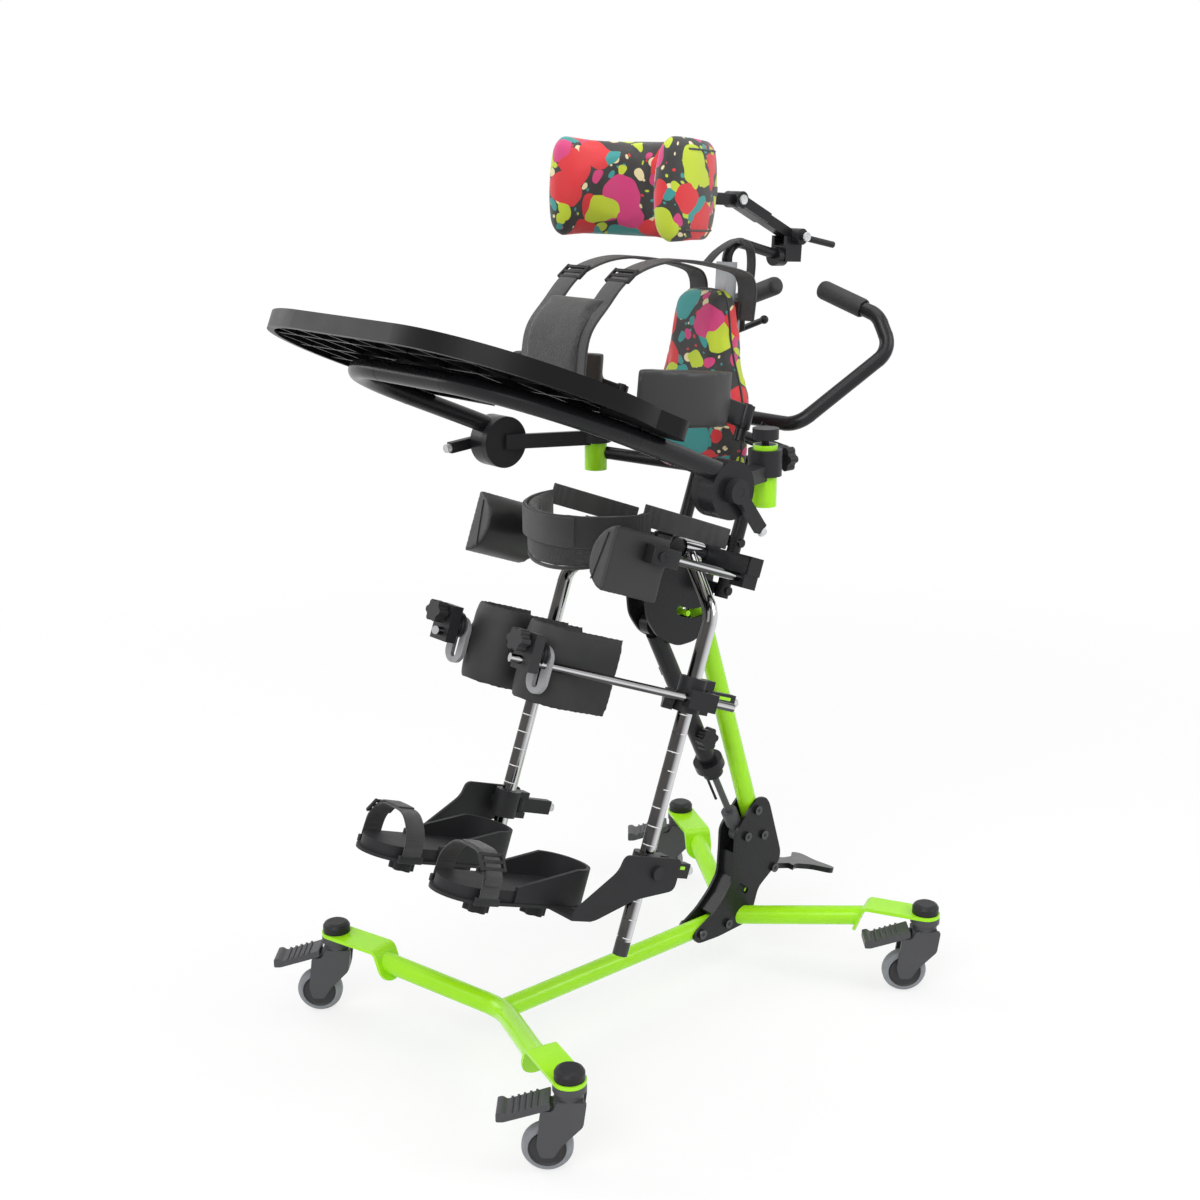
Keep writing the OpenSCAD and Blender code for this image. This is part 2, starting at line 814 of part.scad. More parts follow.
// mast, side plates, bolts and pedal
function mast_point(s) = [0, mast_foot_y - s * sin(mast_lean), mast_foot_z + s * cos(mast_lean)];
module mast() {
  color(green) difference() {
    union() {
      on_base() difference() {
        rod(mast_point(0), mast_point(mast_len), frame_d / 2);
        rod(mast_point(-over), mast_point(mast_len - boss_r), frame_d / 2 - frame_wall);
      }
      on_seat() {
        across(boss_r, -boss_half, boss_half, 0, 0);
        block([-stop_arm_half, stop_arm_half], [-stop_arm_half, stop_arm_half], [-stop_r, 0]);
        across(stop_arm_half, -stop_arm_half, stop_arm_half, 0, -stop_r);
        across(stop_pin_r, -hip_out - hip_t, hip_out + hip_t, 0, -stop_r);
      }
    }
    on_seat() across(pivot_d / 2 + fit, -boss_half - over, boss_half + over, 0, 0);
    on_base() for (s = mast_bolts) across(bolt_d / 2 + fit, -frame_d, frame_d, mast_point(s)[1],
        mast_point(s)[2]);
  }
}
module plate_holes(r_bolt, reach) {
  for (y = main_bolts) across(r_bolt, -reach, reach, y, main_z);
  for (s = mast_bolts) across(r_bolt, -reach, reach, mast_point(s)[1], mast_point(s)[2]);
}
module side_plates() {
  reach = plate_x + plate_t + over;
  color(black) on_base() difference() {
    union() {
      for (s = [-1, 1]) sheet(s * (plate_x + plate_t / 2) - plate_t / 2, plate_t)
        translate([plate_y, plate_z]) difference() {
          polygon(rounded(spread(plate_shares, plate_len, plate_h), plate_round));
          polygon(rounded(spread(plate_window_shares, plate_len, plate_h), plate_round / 2));
        }
      sheet(-plate_x - over, 2 * (plate_x + over)) translate([plate_y, plate_z])
        polygon(spread(web_shares, plate_len, plate_h));
    }
    plate_holes(bolt_d / 2 + fit, reach);
    across(gas_rod_d / 2 + fit, -reach, reach, gas_low_y, gas_low_z);
    across(pedal_pin_r + fit, -reach, reach, pedal_y, pedal_z);
    base_runs(frame_d / 2 + seat / 2, 0);
  }
}
module headed_pin(r, half, y, z) {
  across(r, -half - over, half + over, y, z);
  for (s = [-1, 1]) across(bolt_head_r, s > 0 ? half : -half - bolt_head_h, s > 0 ? half
      + bolt_head_h : -half, y, z);
}
module pins_and_bolts() {
  out = plate_x + plate_t;
  color(steel) {
    on_base() {
      for (y = main_bolts) headed_pin(bolt_d / 2, out, y, main_z);
      for (s = mast_bolts) headed_pin(bolt_d / 2, out, mast_point(s)[1], mast_point(s)[2]);
      headed_pin(gas_rod_d / 2, out, gas_low_y, gas_low_z);
      headed_pin(pedal_pin_r, out, pedal_y, pedal_z);
    }
    on_seat() {
      across(pivot_d / 2, -hip_out - free_gap, hip_out + free_gap, 0, 0);
      for (s = [-1, 1]) across(pivot_d, s > 0 ? hip_out + rub : -hip_out - rub - bolt_head_h,
        s > 0 ? hip_out + rub + bolt_head_h : -hip_out - rub, 0, 0);
    }
  }
}
module foot_pedal() {
  root_len = pedal_len * 0.36;
  color(black) on_base() translate([0, pedal_y, pedal_z]) difference() {
    union() {
      across(pedal_barrel_r, -pedal_root_w / 2 - seat, pedal_root_w / 2 + seat, 0, 0);
      rotate([-pedal_slope, 0, 0]) {
        block([-pedal_root_w / 2, pedal_root_w / 2], [0, root_len], [-pedal_t / 2 - seat, pedal_t / 2 + seat]);
        translate([0, 0, -pedal_t / 2]) linear_extrude(pedal_t) intersection() {
          polygon(rounded([for (p = pedal_shares) [p[1] * pedal_w / 2, p[0] * pedal_len]], pedal_t));
          translate([-pedal_w, root_len * 0.9]) square([2 * pedal_w, pedal_len]);
        }
      }
    }
    across(pedal_pin_r + fit, -pedal_root_w, pedal_root_w, 0, 0);
  }
}

// gas spring, built along the line between its pivots
gas_low = [base_side, base_back + gas_low_y, gas_low_z];
gas_high = seat_point([0, gas_pin_y, gas_pin_z]);
gas_len = norm(gas_high - gas_low);
gas_lean = atan2(gas_low[1] - gas_high[1], gas_high[2] - gas_low[2]);
module on_gas() {
  translate(gas_low) rotate([gas_lean, 0, 0]) children();
}
module gas_rod() {
  color(steel) on_gas() difference() {
    union() {
      across(gas_eye_r, -gas_eye_half, gas_eye_half, 0, 0);
      upright(gas_rod_d / 2, 0, rod_to, 0, 0);
      upright(boot_r, boot_from, boot_to, 0, 0);
      upright(boot_r * 0.75, gas_eye_r * 0.6, boot_from, 0, 0);
      upright(cavity_r - rub, rod_to - gas_rod_d, rod_to, 0, 0);
    }
    across(gas_rod_d / 2 + fit, -gas_eye_half - over, gas_eye_half + over, 0, 0);
  }
}
module gas_cylinder() {
  color(black) on_gas() difference() {
    union() {
      upright(gas_tube_d / 2, tube_from, tube_to, 0, 0);
      upright(flange_r, tube_from - flange_h, tube_from, 0, 0);
      upright(gas_tube_d * 0.58, tube_from - 2 * flange_h, tube_from - flange_h, 0, 0);
      across(gas_eye_r + gas_slack, -gas_eye_half, gas_eye_half, 0, gas_len);
      upright(gas_eye_half, tube_to - over, gas_len - gas_eye_r * 0.7, 0, 0);
      translate([0, 0, gas_knob_at]) rotate([0, 90, 0]) translate([0, 0, gas_tube_d / 2 - over])
        knob(knob_r, knob_h);
      block([-cable_off, 0], [-cable_r * 2, cable_r * 2], [tube_from - flange_h, tube_from]);
      block([-cable_off, 0], [-cable_r * 2, cable_r * 2], [cable_to - flange_h, cable_to]);
      upright(cable_r * 2, tube_from - 2 * flange_h, tube_from, -cable_off, 0);
      upright(cable_r, cable_from, cable_to, -cable_off, 0);
    }
    upright(gas_rod_d / 2 + fit, tube_from - 2 * flange_h - over, tube_from + flange_h, 0, 0);
    upright(cavity_r, tube_from + flange_h / 2, cavity_to, 0, 0);
    across(gas_rod_d / 2 + gas_slack, -gas_eye_half - over, gas_eye_half + over, 0, gas_len);
  }
}

// hip bracket
module arc_slot() {
  for (a = [slot_from, slot_to]) translate([stop_r * sin(a), -stop_r * cos(a)]) circle(r = slot_half);
  difference() {
    circle(r = stop_r + slot_half);
    circle(r = stop_r - slot_half);
    rotate(slot_from) translate([-2 * stop_r, -2 * stop_r]) square([2 * stop_r, 4 * stop_r]);
    rotate(slot_to) translate([0, -2 * stop_r]) square([2 * stop_r, 4 * stop_r]);
  }
}
module hip_bracket() {
  pin_tip = beam_fore - free_gap - leg_barrel_len - free_gap;
  color(black) on_seat() difference() {
    union() {
      for (s = [-1, 1]) {
        sheet(s * (hip_x + hip_t / 2) - hip_t / 2, hip_t) difference() {
          translate([hip_fore, hip_low]) polygon(rounded(spread(hip_shares, hip_w, hip_h), hip_round));
          arc_slot();
        }
        for (z = [spacer_low, spacer_high]) across(spacer_r,
            s > 0 ? hip_out - over : seat - back_half + back_d / 2,
          s > 0 ? back_half - back_d / 2 - seat : over - hip_out, back_y, z);
        endlong(leg_pin_r, pin_tip - over, beam_fore + over, s * leg_hinge_half, leg_hinge_z);
        endlong(leg_head_r, pin_tip - leg_head_h, pin_tip, s * leg_hinge_half, leg_hinge_z);
        block([s * hip_rod_x - holder_half, s * hip_rod_x + holder_half], [beam_fore - over, beam_aft
            + over],
          [hip_rod_z - holder_half, beam_high]);
      }
      block([-hip_x - over, hip_x + over], [bridge_fore, back_y], [bridge_low, bridge_high]);
      block([-beam_half, beam_half], [beam_fore, beam_aft], [beam_low, beam_high]);
      across(gas_rod_d / 2, -hip_out, hip_out, gas_pin_y, gas_pin_z);
    }
    across(pivot_d / 2 + fit, -hip_out - over, hip_out + over, 0, 0);
    for (s = [-1, 1]) endlong(hip_rod_d / 2 + fit, beam_fore - 2 * over, beam_aft + 2 * over,
        s * hip_rod_x, hip_rod_z);
  }
}

// back tubes, push handle, lugs and arms
handle_corner = [handle_out_x, back_y, handle_z];
function handle_path(s) = [
  [0, back_y, handle_z], mirror_x(handle_corner, s), mirror_x(handle_elbow, s), mirror_x(handle_root,
      s), mirror_x(handle_tip, s)
];
lever_mount = mirror_x(handle_corner, -1) * (1 - lever_mount_share) + mirror_x(handle_elbow, -1)
    * lever_mount_share;
module socket_place(s) {
  translate([s * socket_x, socket_y, socket_z]) rotate([lean, 0, 0]) children();
}
module back_frame() {
  color(black) on_seat() difference() {
    union() {
      for (s = [-1, 1]) {
        difference() {
          bent_rod(handle_path(s), handle_bend, handle_d / 2);
          bent_rod(handle_path(s), handle_bend, handle_d / 2 - handle_wall, -handle_d);
        }
        upright(back_d / 2, back_low, handle_z, s * back_half, back_y);
        for (z = [spacer_low, spacer_high]) across(screw_r,
            s > 0 ? back_half : -back_half - back_d / 2 - screw_h,
          s > 0 ? back_half + back_d / 2 + screw_h : -back_half, back_y, z);
        sheet(s * (lug_in + lug_t / 2) - lug_t / 2, lug_t) {
          translate([back_hinge_y, back_hinge_z]) circle(r = lug_r);
          translate([back_hinge_y, back_hinge_z - lug_r]) square([back_y - back_hinge_y, 2 * lug_r]);
        }
        bent_rod([[s * back_half, back_y, chest_arm_z], [s * chest_hinge_x, back_y, chest_arm_z],
          [s * chest_hinge_x, chest_hinge_y, chest_arm_z]], back_round, chest_arm_d / 2);
        upright(chest_pin_r, chest_arm_z - over, chest_barrel_high + free_gap, s * chest_hinge_x,
            chest_hinge_y);
        upright(chest_arm_d / 2 + seat, chest_arm_z - chest_arm_d / 2 + seat, chest_arm_z
            + chest_arm_d / 2 - seat, s * chest_hinge_x, chest_hinge_y);
        difference() {
          rod([s * back_half, back_y, tray_arm_z], [s * socket_x, socket_y + arm_down * sin(lean),
            socket_z - arm_down * cos(lean)], tray_arm_d / 2);
          socket_place(s) upright(socket_d / 2 + seat, -socket_len, socket_len, 0, 0);
          socket_place(s) block([s > 0 ? 0 : -socket_d, s > 0 ? socket_d : 0], [-socket_d, socket_d],
              [-socket_len, socket_len]);
        }
      }
      across(cross_r, -back_half, back_half, back_y, back_hinge_z);
      along(lever_mount, mirror_x(handle_elbow, -1)) translate([0, 0, -lever_barrel_r])
        cylinder(r = lever_mount_r, h = 2 * lever_barrel_r);
      rod(lever_mount, lever_pivot + [0, lever_barrel_half + lever_d + rub, 0], lever_d / 2);
      endlong(lever_pin_r, lever_pivot[1] - lever_barrel_half - free_gap, lever_pivot[1]
          + lever_barrel_half + lever_d,
        lever_pivot[0], lever_pivot[2]);
      endlong(lever_barrel_r, lever_pivot[1] + lever_barrel_half + rub, lever_pivot[1]
          + lever_barrel_half + rub + lever_d,
        lever_pivot[0], lever_pivot[2]);
    }
    across(back_pin_r + fit, -lug_in - lug_t - over, lug_in + lug_t + over, back_hinge_y, back_hinge_z);
  }
}
module grips() {
  bore = handle_d / 2 + seat;
  wall = grip_d / 2 - bore;
  color(black) on_seat() for (s = [-1, 1]) {
    root = mirror_x(handle_root, s);
    tip = mirror_x(handle_tip, s);
    from = root + unit(tip - root) * (handle_bend * grip_root_share);
    span = norm(tip - from);
    along(from, tip) rotate_extrude() polygon([
      [bore, 0], [grip_d / 2, 0], [grip_d / 2, span], [grip_d / 2 - wall / 3, span + wall],
      [grip_d / 2 - wall, span + 1.6 * wall], [0, span + 2 * wall], [0, span + seat], [bore, span + seat]
    ]);
  }
}
module hand_lever() {
  color(black) on_seat() difference() {
    union() {
      endlong(lever_barrel_r, lever_pivot[1] - lever_barrel_half, lever_pivot[1] + lever_barrel_half,
          lever_pivot[0], lever_pivot[2]);
      rod(lever_pivot, lever_tip, lever_d / 2);
      translate(lever_tip) sphere(r = lever_d * 0.7);
    }
    endlong(lever_pin_r + fit, lever_pivot[1] - lever_barrel_half - over, lever_pivot[1]
        + lever_barrel_half + over,
      lever_pivot[0], lever_pivot[2]);
  }
}

// tray
module arm_sockets() {
  color(green) on_seat() for (s = [-1, 1]) socket_place(s) difference() {
    upright(socket_d / 2, -socket_len / 2, socket_len / 2, 0, 0);
    upright(socket_d / 2 - socket_wall, -socket_len / 2 - over, socket_len / 2 + over, 0, 0);
  }
}
module tray_mounts() {
  top = socket_len / 2;
  clamp_low = top - clamp_h - clamp_up;
  color(black) on_seat() for (s = [-1, 1]) {
    difference() {
      union() {
        socket_place(s) {
          upright(clamp_r, clamp_low, top - clamp_up, 0, 0);
          translate([0, clamp_r - over, clamp_low + clamp_h / 2]) rotate([-90, 0, 0]) {
            cylinder(r = foot_stud_r, h = knob_h);
            translate([0, 0, knob_h * 0.7]) knob(knob_r, knob_h);
          }
        }
        along([s * socket_x, socket_y, socket_z + clamp_up], [s * (hub_in + hub_t / 2), hub_y, hub_z])
          translate([-hub_t, -hub_t, 0]) cube([2 * hub_t, 2 * hub_t, norm([hub_in + hub_t / 2 - socket_x,
          hub_y - socket_y, hub_z - socket_z - clamp_up])]);
      }
      socket_place(s) upright(socket_d / 2 + seat, -socket_len, socket_len, 0, 0);
      block([s > 0 ? hub_in + hub_t : -hub_in - hub_t - hub_d, s > 0 ? hub_in + hub_t
          + hub_d : -hub_in - hub_t],
        [hub_y - hub_d, hub_y + hub_d], [hub_z - hub_d, hub_z + hub_d]);
    }
    across(hub_d / 2, s > 0 ? hub_in : -hub_in - hub_t, s > 0 ? hub_in + hub_t : -hub_in, hub_y, hub_z);
    across(hub_bolt_r, s > 0 ? hub_in : -hub_face - hub_lever_t, s > 0 ? hub_face
        + hub_lever_t : -hub_in, hub_y, hub_z);
    socket_place(s) {
      upright(socket_d / 2 - socket_wall - seat, top - clamp_h, top + seat, 0, 0);
      upright(foot_stud_r, top, top + knob_h, 0, 0);
      upright(knob_r, top + knob_h * 0.5, top + knob_h * 1.5, 0, 0);
    }
  }
}
module tray_frame() {
  corners = [
    [tray_tube_half, hub_y, tray_tube_z], [tray_tube_half, tray_tube_front, tray_tube_z],
    [-tray_tube_half, tray_tube_front, tray_tube_z], [-tray_tube_half, hub_y, tray_tube_z]
  ];
  color(black) on_tray() difference() {
    union() {
      difference() {
        bent_rod(corners, tray_bend, tray_tube_d / 2);
        bent_rod(corners, tray_bend, tray_tube_d / 2 - frame_wall, -tray_tube_d);
      }
      for (s = [-1, 1]) {
        across(hub_d / 2, s > 0 ? hub_out : -hub_face, s > 0 ? hub_face : -hub_out, hub_y, hub_z);
        translate([s * tray_tube_half, hub_y, tray_tube_z]) sphere(r = tray_tube_d / 2);
      }
    }
    for (s = [-1, 1]) across(hub_bolt_r + fit, s > 0 ? hub_out - over : -hub_face - over,
      s > 0 ? hub_face + over : over - hub_out, hub_y, hub_z);
  }
}
module tray_shape(inset) {
  difference() {
    intersection() {
      union() {
        for (s = [-1, 1]) translate([s * (tray_half - tray_r), tray_front + tray_r])
            circle(r = tray_r - inset, $fn = 96);
        translate([tray_r - tray_half, tray_front + inset]) square([2 * (tray_half - tray_r), tray_r]);
        polygon([
          [inset - tray_half, tray_front + tray_r], [tray_half - inset, tray_front + tray_r],
          [tray_rear_half - inset, tray_rear - inset], [inset - tray_rear_half, tray_rear - inset]
        ]);
      }
      translate([-tray_half - over, tray_front - over]) square([2 * (tray_half + over),
          tray_aft - inset - tray_front + over]);
    }
    translate([0, tray_rear]) circle(r = tray_cut_r + inset, $fn = 96);
  }
}
module tray_top() {
  rib_count = ceil(tray_half / rib_gap);
  color(black) on_tray() difference() {
    union() {
      difference() {
        translate([0, 0, tray_low]) linear_extrude(tray_t) tray_shape(0);
        translate([0, 0, tray_low - over]) linear_extrude(tray_t - tray_lip - tray_skin + over)
            tray_shape(tray_rim);
      }
      intersection() {
        translate([0, 0, tray_low + tray_lip]) linear_extrude(tray_t - 2 * tray_lip)
            tray_shape(tray_rim / 2);
        union() {
          for (i = [-rib_count : rib_count]) block([i * rib_gap - rib_t / 2, i * rib_gap + rib_t / 2],
            [tray_front, tray_rear], [tray_low, tray_top_z]);
          for (i = [1 : rib_count]) block([-tray_half, tray_half],
            [tray_front + i * rib_gap - rib_t / 2, tray_front + i * rib_gap + rib_t / 2], [tray_low,
                tray_top_z]);
        }
      }
      for (s = [-1, 1]) translate([s * elbow_x, elbow_fore, tray_low]) linear_extrude(tray_t)
        oblong(2 * elbow_half, elbow_aft - elbow_fore);
    }
    translate([0, 0, tray_top_z - tray_lip]) linear_extrude(tray_lip + over) tray_shape(tray_rim);
  }
}
// a lever on the outer face of a hub, with a push button at its end
module hub_lever(s, turn) {
  color(black) on_seat() on_side(s) translate([hub_face + rub, hub_y, hub_z]) rotate([turn, 0, 0])
      difference() {
    union() {
      rotate([0, 90, 0]) cylinder(r = hub_lever_w, h = hub_lever_t);
      block([hub_lever_t * 0.2, hub_lever_t], [-hub_lever_len, 0], [-hub_lever_w / 2, hub_lever_w / 2]);
      translate([hub_lever_t * 0.6, -hub_lever_len, 0]) rotate([90, 0, 0]) cylinder(r = button_r,
          h = button_h);
    }
    translate([-over, 0, 0]) rotate([0, 90, 0]) cylinder(r = hub_bolt_r + fit, h = hub_lever_t + 2 * over);
  }
}
module hub_lever_left() {
  hub_lever(1, hub_lever_back);
}
module hub_lever_right() {
  hub_lever(-1, hub_lever_fore);
}

// back post, cushion and head support
module back_post() {
  color(grey) on_post() difference() {
    union() {
      across(lug_r, -lug_in + rub, lug_in - rub, 0, 0);
      across(back_pin_r, -lug_in - lug_t, lug_in + lug_t, 0, 0);
      block([-post_w / 2, post_w / 2], [-post_w / 2, post_w / 2], [0, post_len]);
      block([-back_plate_half, back_plate_half], [-post_w / 2 - plate_fore, -post_w / 2], [lug_r,
          back_pad_h + back_pad_low - 2 * lug_r]);
    }
    upright(head_rod_d / 2 + fit, bore_from, post_len + over, 0, 0);
  }
}
// half outline of the back cushion, narrow at the top
back_pad_shares = [[0.88, 0], [1, 0.12], [1, 0.42], [0.62, 0.80], [0.52, 0.95], [0.40, 1]];
module back_pad_outline(grow) {
  right = [for (p = back_pad_shares) [p[0] * back_pad_half, p[1] * back_pad_h]];
  left = [for (i = [len(right) - 1 : -1 : 0]) [-right[i][0], right[i][1]]];
  translate([0, back_pad_h / 2]) scale((back_pad_half + grow) / back_pad_half) translate([0,
      -back_pad_h / 2])
    polygon(rounded(concat(right, left), back_pad_half / 4, 3));
}
module back_pad() {
  rear = -post_w / 2 - plate_fore - pad_gap;
  draw = back_pad_t / 6;
  color(print_cloth) on_post() translate([0, rear, back_pad_low]) rotate([90, 0, 0]) hull() {
    linear_extrude(draw) back_pad_outline(-draw);
    translate([0, 0, back_pad_t * 0.30]) linear_extrude(back_pad_t * 0.2) back_pad_outline(0);
    translate([0, 0, back_pad_t * 0.75]) linear_extrude(draw) back_pad_outline(-draw);
    translate([0, 0, back_pad_t - draw]) linear_extrude(draw) back_pad_outline(-3 * draw);
  }
}
module head_arm() {
  color(black) on_post() {
    bent_rod([[0, 0, head_rod_low], [0, 0, head_rod_up], head_rod_back], head_rod_bend, head_rod_d / 2);
    difference() {
      union() {
        rod(head_rod_back - [0, collar_len, 0] * 0.7, head_rod_back, collar_r);
        for (s = [-1, 1]) {
          across(head_barrel_r, s > 0 ? head_ear_in : -head_ear_in - head_ear_t,
            s > 0 ? head_ear_in + head_ear_t : -head_ear_in, head_a[1], head_a[2]);
          block([s > 0 ? head_ear_in : -head_ear_in - head_ear_t, s > 0 ? head_ear_in
              + head_ear_t : -head_ear_in],
            [head_rod_back[1] - collar_r * 0.6, head_a[1] + head_barrel_r],
                [head_rod_back[2] - collar_r * 0.5, head_a[2]]);
        }
      }
      across(head_barrel_r + free_gap, -head_ear_in, head_ear_in, head_a[1], head_a[2]);
    }
    block([-head_ear_in - head_ear_t, head_ear_in + head_ear_t], [head_rod_back[1] - collar_r * 0.6,
        head_a[1] + head_barrel_r],
      [head_rod_back[2] - collar_r * 0.5, head_a[2] - head_barrel_r - 2 * free_gap]);
    across(head_pin_r, -head_ear_in - head_ear_t, head_ear_in + 2.4 * head_ear_t, head_a[1], head_a[2]);
  }
}
module head_link() {
  color(black) on_post() difference() {
    union() {
      across(head_barrel_r, -head_barrel_half, head_barrel_half, head_a[1], head_a[2]);
      along(head_a, head_b) translate([-head_bar_h / 2, -head_barrel_half, 0])
        cube([head_bar_h, 2 * head_barrel_half, norm(head_b - head_a) - head_barrel_r - 2 * free_gap]);
      for (s = [-1, 1]) {
        across(head_barrel_r, s > 0 ? head_ear_in : -head_ear_in - head_ear_t,
          s > 0 ? head_ear_in + head_ear_t : -head_ear_in, head_b[1], head_b[2]);
        along(head_b, head_a) {
          translate([seat - head_bar_h / 2, s > 0 ? head_ear_in + seat : seat - head_ear_in - head_ear_t, 0])
            cube([head_bar_h - 2 * seat, head_ear_t - 2 * seat, norm(head_b - head_a) / 2]);
          translate([2 * seat - head_bar_h / 2, s > 0 ? head_barrel_half - over : -head_ear_in - over,
              head_barrel_r + 3 * free_gap])
            cube([head_bar_h - 4 * seat, head_ear_in - head_barrel_half + 2 * over,
              norm(head_b - head_a) / 2 - head_barrel_r - 4 * free_gap]);
        }
      }
      across(head_pin_r, -head_ear_in - head_ear_t, head_ear_in + head_ear_t, head_b[1], head_b[2]);
    }
    across(head_pin_r + fit, -head_barrel_half - over, head_barrel_half + over, head_a[1], head_a[2]);
  }
}
module head_lever() {
  x0 = head_ear_in + head_ear_t + rub;
  color(black) on_post() translate([0, head_a[1], head_a[2]]) difference() {
    union() {
      across(head_barrel_r, x0, x0 + 2 * head_ear_t, 0, 0);
      rod([x0 + head_ear_t, 0, 0], [x0 + 2 * head_ear_t, head_lever_len, -head_ear_t * 2],
          head_ear_t * 0.9);
      across(button_r, x0 + head_ear_t, x0 + 2 * head_ear_t + button_h, 0, 0);
    }
    across(head_pin_r + fit, x0 - over, x0 + 1.6 * head_ear_t, 0, 0);
  }
}
module head_profile() {
  r = head_pad_t / 2;
  for (s = [-1, 1]) translate([0, s * (head_h / 2 - r)]) circle(r = r);
  translate([-r, r - head_h / 2]) square([2 * r, head_h - 2 * r]);
}
module head_pad() {
  r = head_half - head_pad_t / 2;
  color(print_cloth) on_post() {
    translate([0, head_pad_mid, head_pad_z]) {
      rotate_extrude(angle = 180) translate([r, 0]) head_profile();
      for (s = [-1, 1]) translate([s * r, -head_wing, 0]) {
        translate([0, head_wing, 0]) rotate([90, 0, 0]) linear_extrude(head_wing) head_profile();
        rotate([0, 0, 180]) rotate_extrude(angle = 180) intersection() {
          head_profile();
          translate([0, -head_h / 2]) square([head_pad_t, head_h]);
        }
      }
    }
    difference() {
      union() {
        across(head_barrel_r, -head_barrel_half, head_barrel_half, head_b[1], head_b[2]);
        block([-stem_half, stem_half], [head_pad_mid + r, head_b[1]], [head_b[2] - stem_half,
            head_b[2] + stem_half]);
      }
      across(head_pin_r + fit, -head_barrel_half - over, head_barrel_half + over, head_b[1], head_b[2]);
    }
  }
}
// shoulder straps with a chest panel, standing as worn
module harness() {
  path = smooth_path([for (p = strap_shares) [p[0] * strap_span, p[1] * back_pad_h]]);
  front = [for (p = path) if (p[0] < -strap_span * panel_share) p];
  color(cloth) on_post() {
    for (s = [-1, 1]) sheet(s * strap_band_x - strap_band_w / 2, strap_band_w) polygon(band(path,
        strap_band_t));
    sheet(-strap_band_x, 2 * strap_band_x) polygon(band(front, chest_panel_t));
  }
}
module hip_belt() {
  color(cloth) on_seat() {
    translate([0, belt_y, belt_z]) rotate([lean, 0, 0]) rotate([0, 0, 180]) rotate_extrude(angle = 180)
        translate([belt_r, 0])
      polygon(rounded([[0, -belt_h / 2], [belt_t, -belt_h / 2], [belt_t, belt_h / 2], [0, belt_h / 2]],
          belt_t / 3));
    for (s = [-1, 1]) block([s > 0 ? belt_r : -belt_r - belt_t, s > 0 ? belt_r + belt_t : -belt_r],
      [belt_y - belt_h / 2 * sin(lean), beam_aft], [beam_high + rub, beam_high + rub + belt_flap]);
  }
}

// legs
module leg_tube(s) {
  x = leg_half;
  path = [[x, leg_y, leg_low], [x, leg_y, leg_elbow_z], [leg_hinge_half, leg_y, leg_hinge_z]];
  barrel_aft = beam_fore - free_gap;
  color(steel) on_seat() on_side(s) difference() {
    union() {
      difference() {
        bent_rod(path, leg_bend, leg_d / 2);
        bent_rod(path, leg_bend, leg_d / 2 - leg_wall, -leg_d);
      }
      endlong(leg_barrel_r, barrel_aft - leg_barrel_len, barrel_aft, leg_hinge_half, leg_hinge_z);
    }
    endlong(leg_pin_r + fit, barrel_aft - leg_barrel_len - over, barrel_aft + over, leg_hinge_half,
        leg_hinge_z);
  }
}
// turned frame of the knee rod, with its y axis along the rod
module on_knee_rod() {
  translate([leg_half + knee_rod_off, leg_y, knee_z + knee_rod_drop]) rotate([0, 0, -knee_rod_turn])
      children();
}
module knee_clamp(s) {
  r = leg_d / 2 + clamp_wall;
  color(black) on_seat() on_side(s) difference() {
    union() {
      upright(r, knee_z - knee_clamp_h / 2, knee_z + knee_clamp_h / 2, leg_half, leg_y);
      on_knee_rod() block([-holder_w / 2, holder_w / 2], [-holder_len / 2, holder_len / 2],
          [-holder_w / 2, holder_w / 2]);
      block([leg_half - lever_hub_r, leg_half + lever_hub_r], [leg_y + leg_d / 2 + clamp_wall / 2,
          leg_y + r + 2 * lever_hub_r],
        [knee_z - knee_clamp_h / 2, knee_z - lever_h / 2 - rub]);
      block([leg_half - lever_hub_r, leg_half + lever_hub_r], [leg_y + leg_d / 2 + clamp_wall / 2,
          leg_y + r + 2 * lever_hub_r],
        [knee_z + lever_h / 2 + rub, knee_z + knee_clamp_h / 2]);
      upright(lever_hinge_r, knee_z - knee_clamp_h / 2, knee_z + knee_clamp_h / 2, leg_half, leg_y
          + r + lever_hub_r);
      translate([leg_half, leg_y, knee_z - knee_clamp_h / 4]) rotate([90, 0, -clamp_knob_turn]) {
        cylinder(r = foot_stud_r, h = r + knob_h * 0.5);
        translate([0, 0, r + rub]) knob(knob_r * 0.85, knob_h);
      }
    }
    upright(leg_d / 2 + fit, knee_z - knee_clamp_h, knee_z + knee_clamp_h, leg_half, leg_y);
    on_knee_rod() endlong(knee_rod_d / 2 + fit, -holder_len, holder_len, 0, 0);
  }
}
// a short clamp lever with a push button at its end, hinged upright behind a clamp
module clamp_lever(z, reach) {
  y = leg_y + leg_d / 2 + clamp_wall + lever_hub_r;
  translate([leg_half, y, z]) difference() {
    union() {
      upright(lever_hub_r - free_gap, -lever_h / 2, lever_h / 2, 0, 0);
      block([-lever_w / 2, lever_w / 2], [0, reach], [-lever_h / 2, lever_h / 2]);
      endlong(button_r, reach - over, reach + button_h, 0, 0);
    }
    upright(lever_hinge_r + fit, -lever_h, lever_h, 0, 0);
  }
}
module knee_lever(s) {
  color(black) on_seat() on_side(s) clamp_lever(knee_z, lever_len);
}
module knee_rod(s) {
  color(steel) on_seat() on_side(s) on_knee_rod() endlong(knee_rod_d / 2, -knee_rod_fore, knee_rod_aft,
      0, 0);
}
// place of the knee mount on the rod, measured in the tilting frame
mount_y = leg_y - (knee_rod_fore - mount_back) * cos(knee_rod_turn);
mount_x = leg_half + knee_rod_off - (knee_rod_fore - mount_back) * sin(knee_rod_turn);
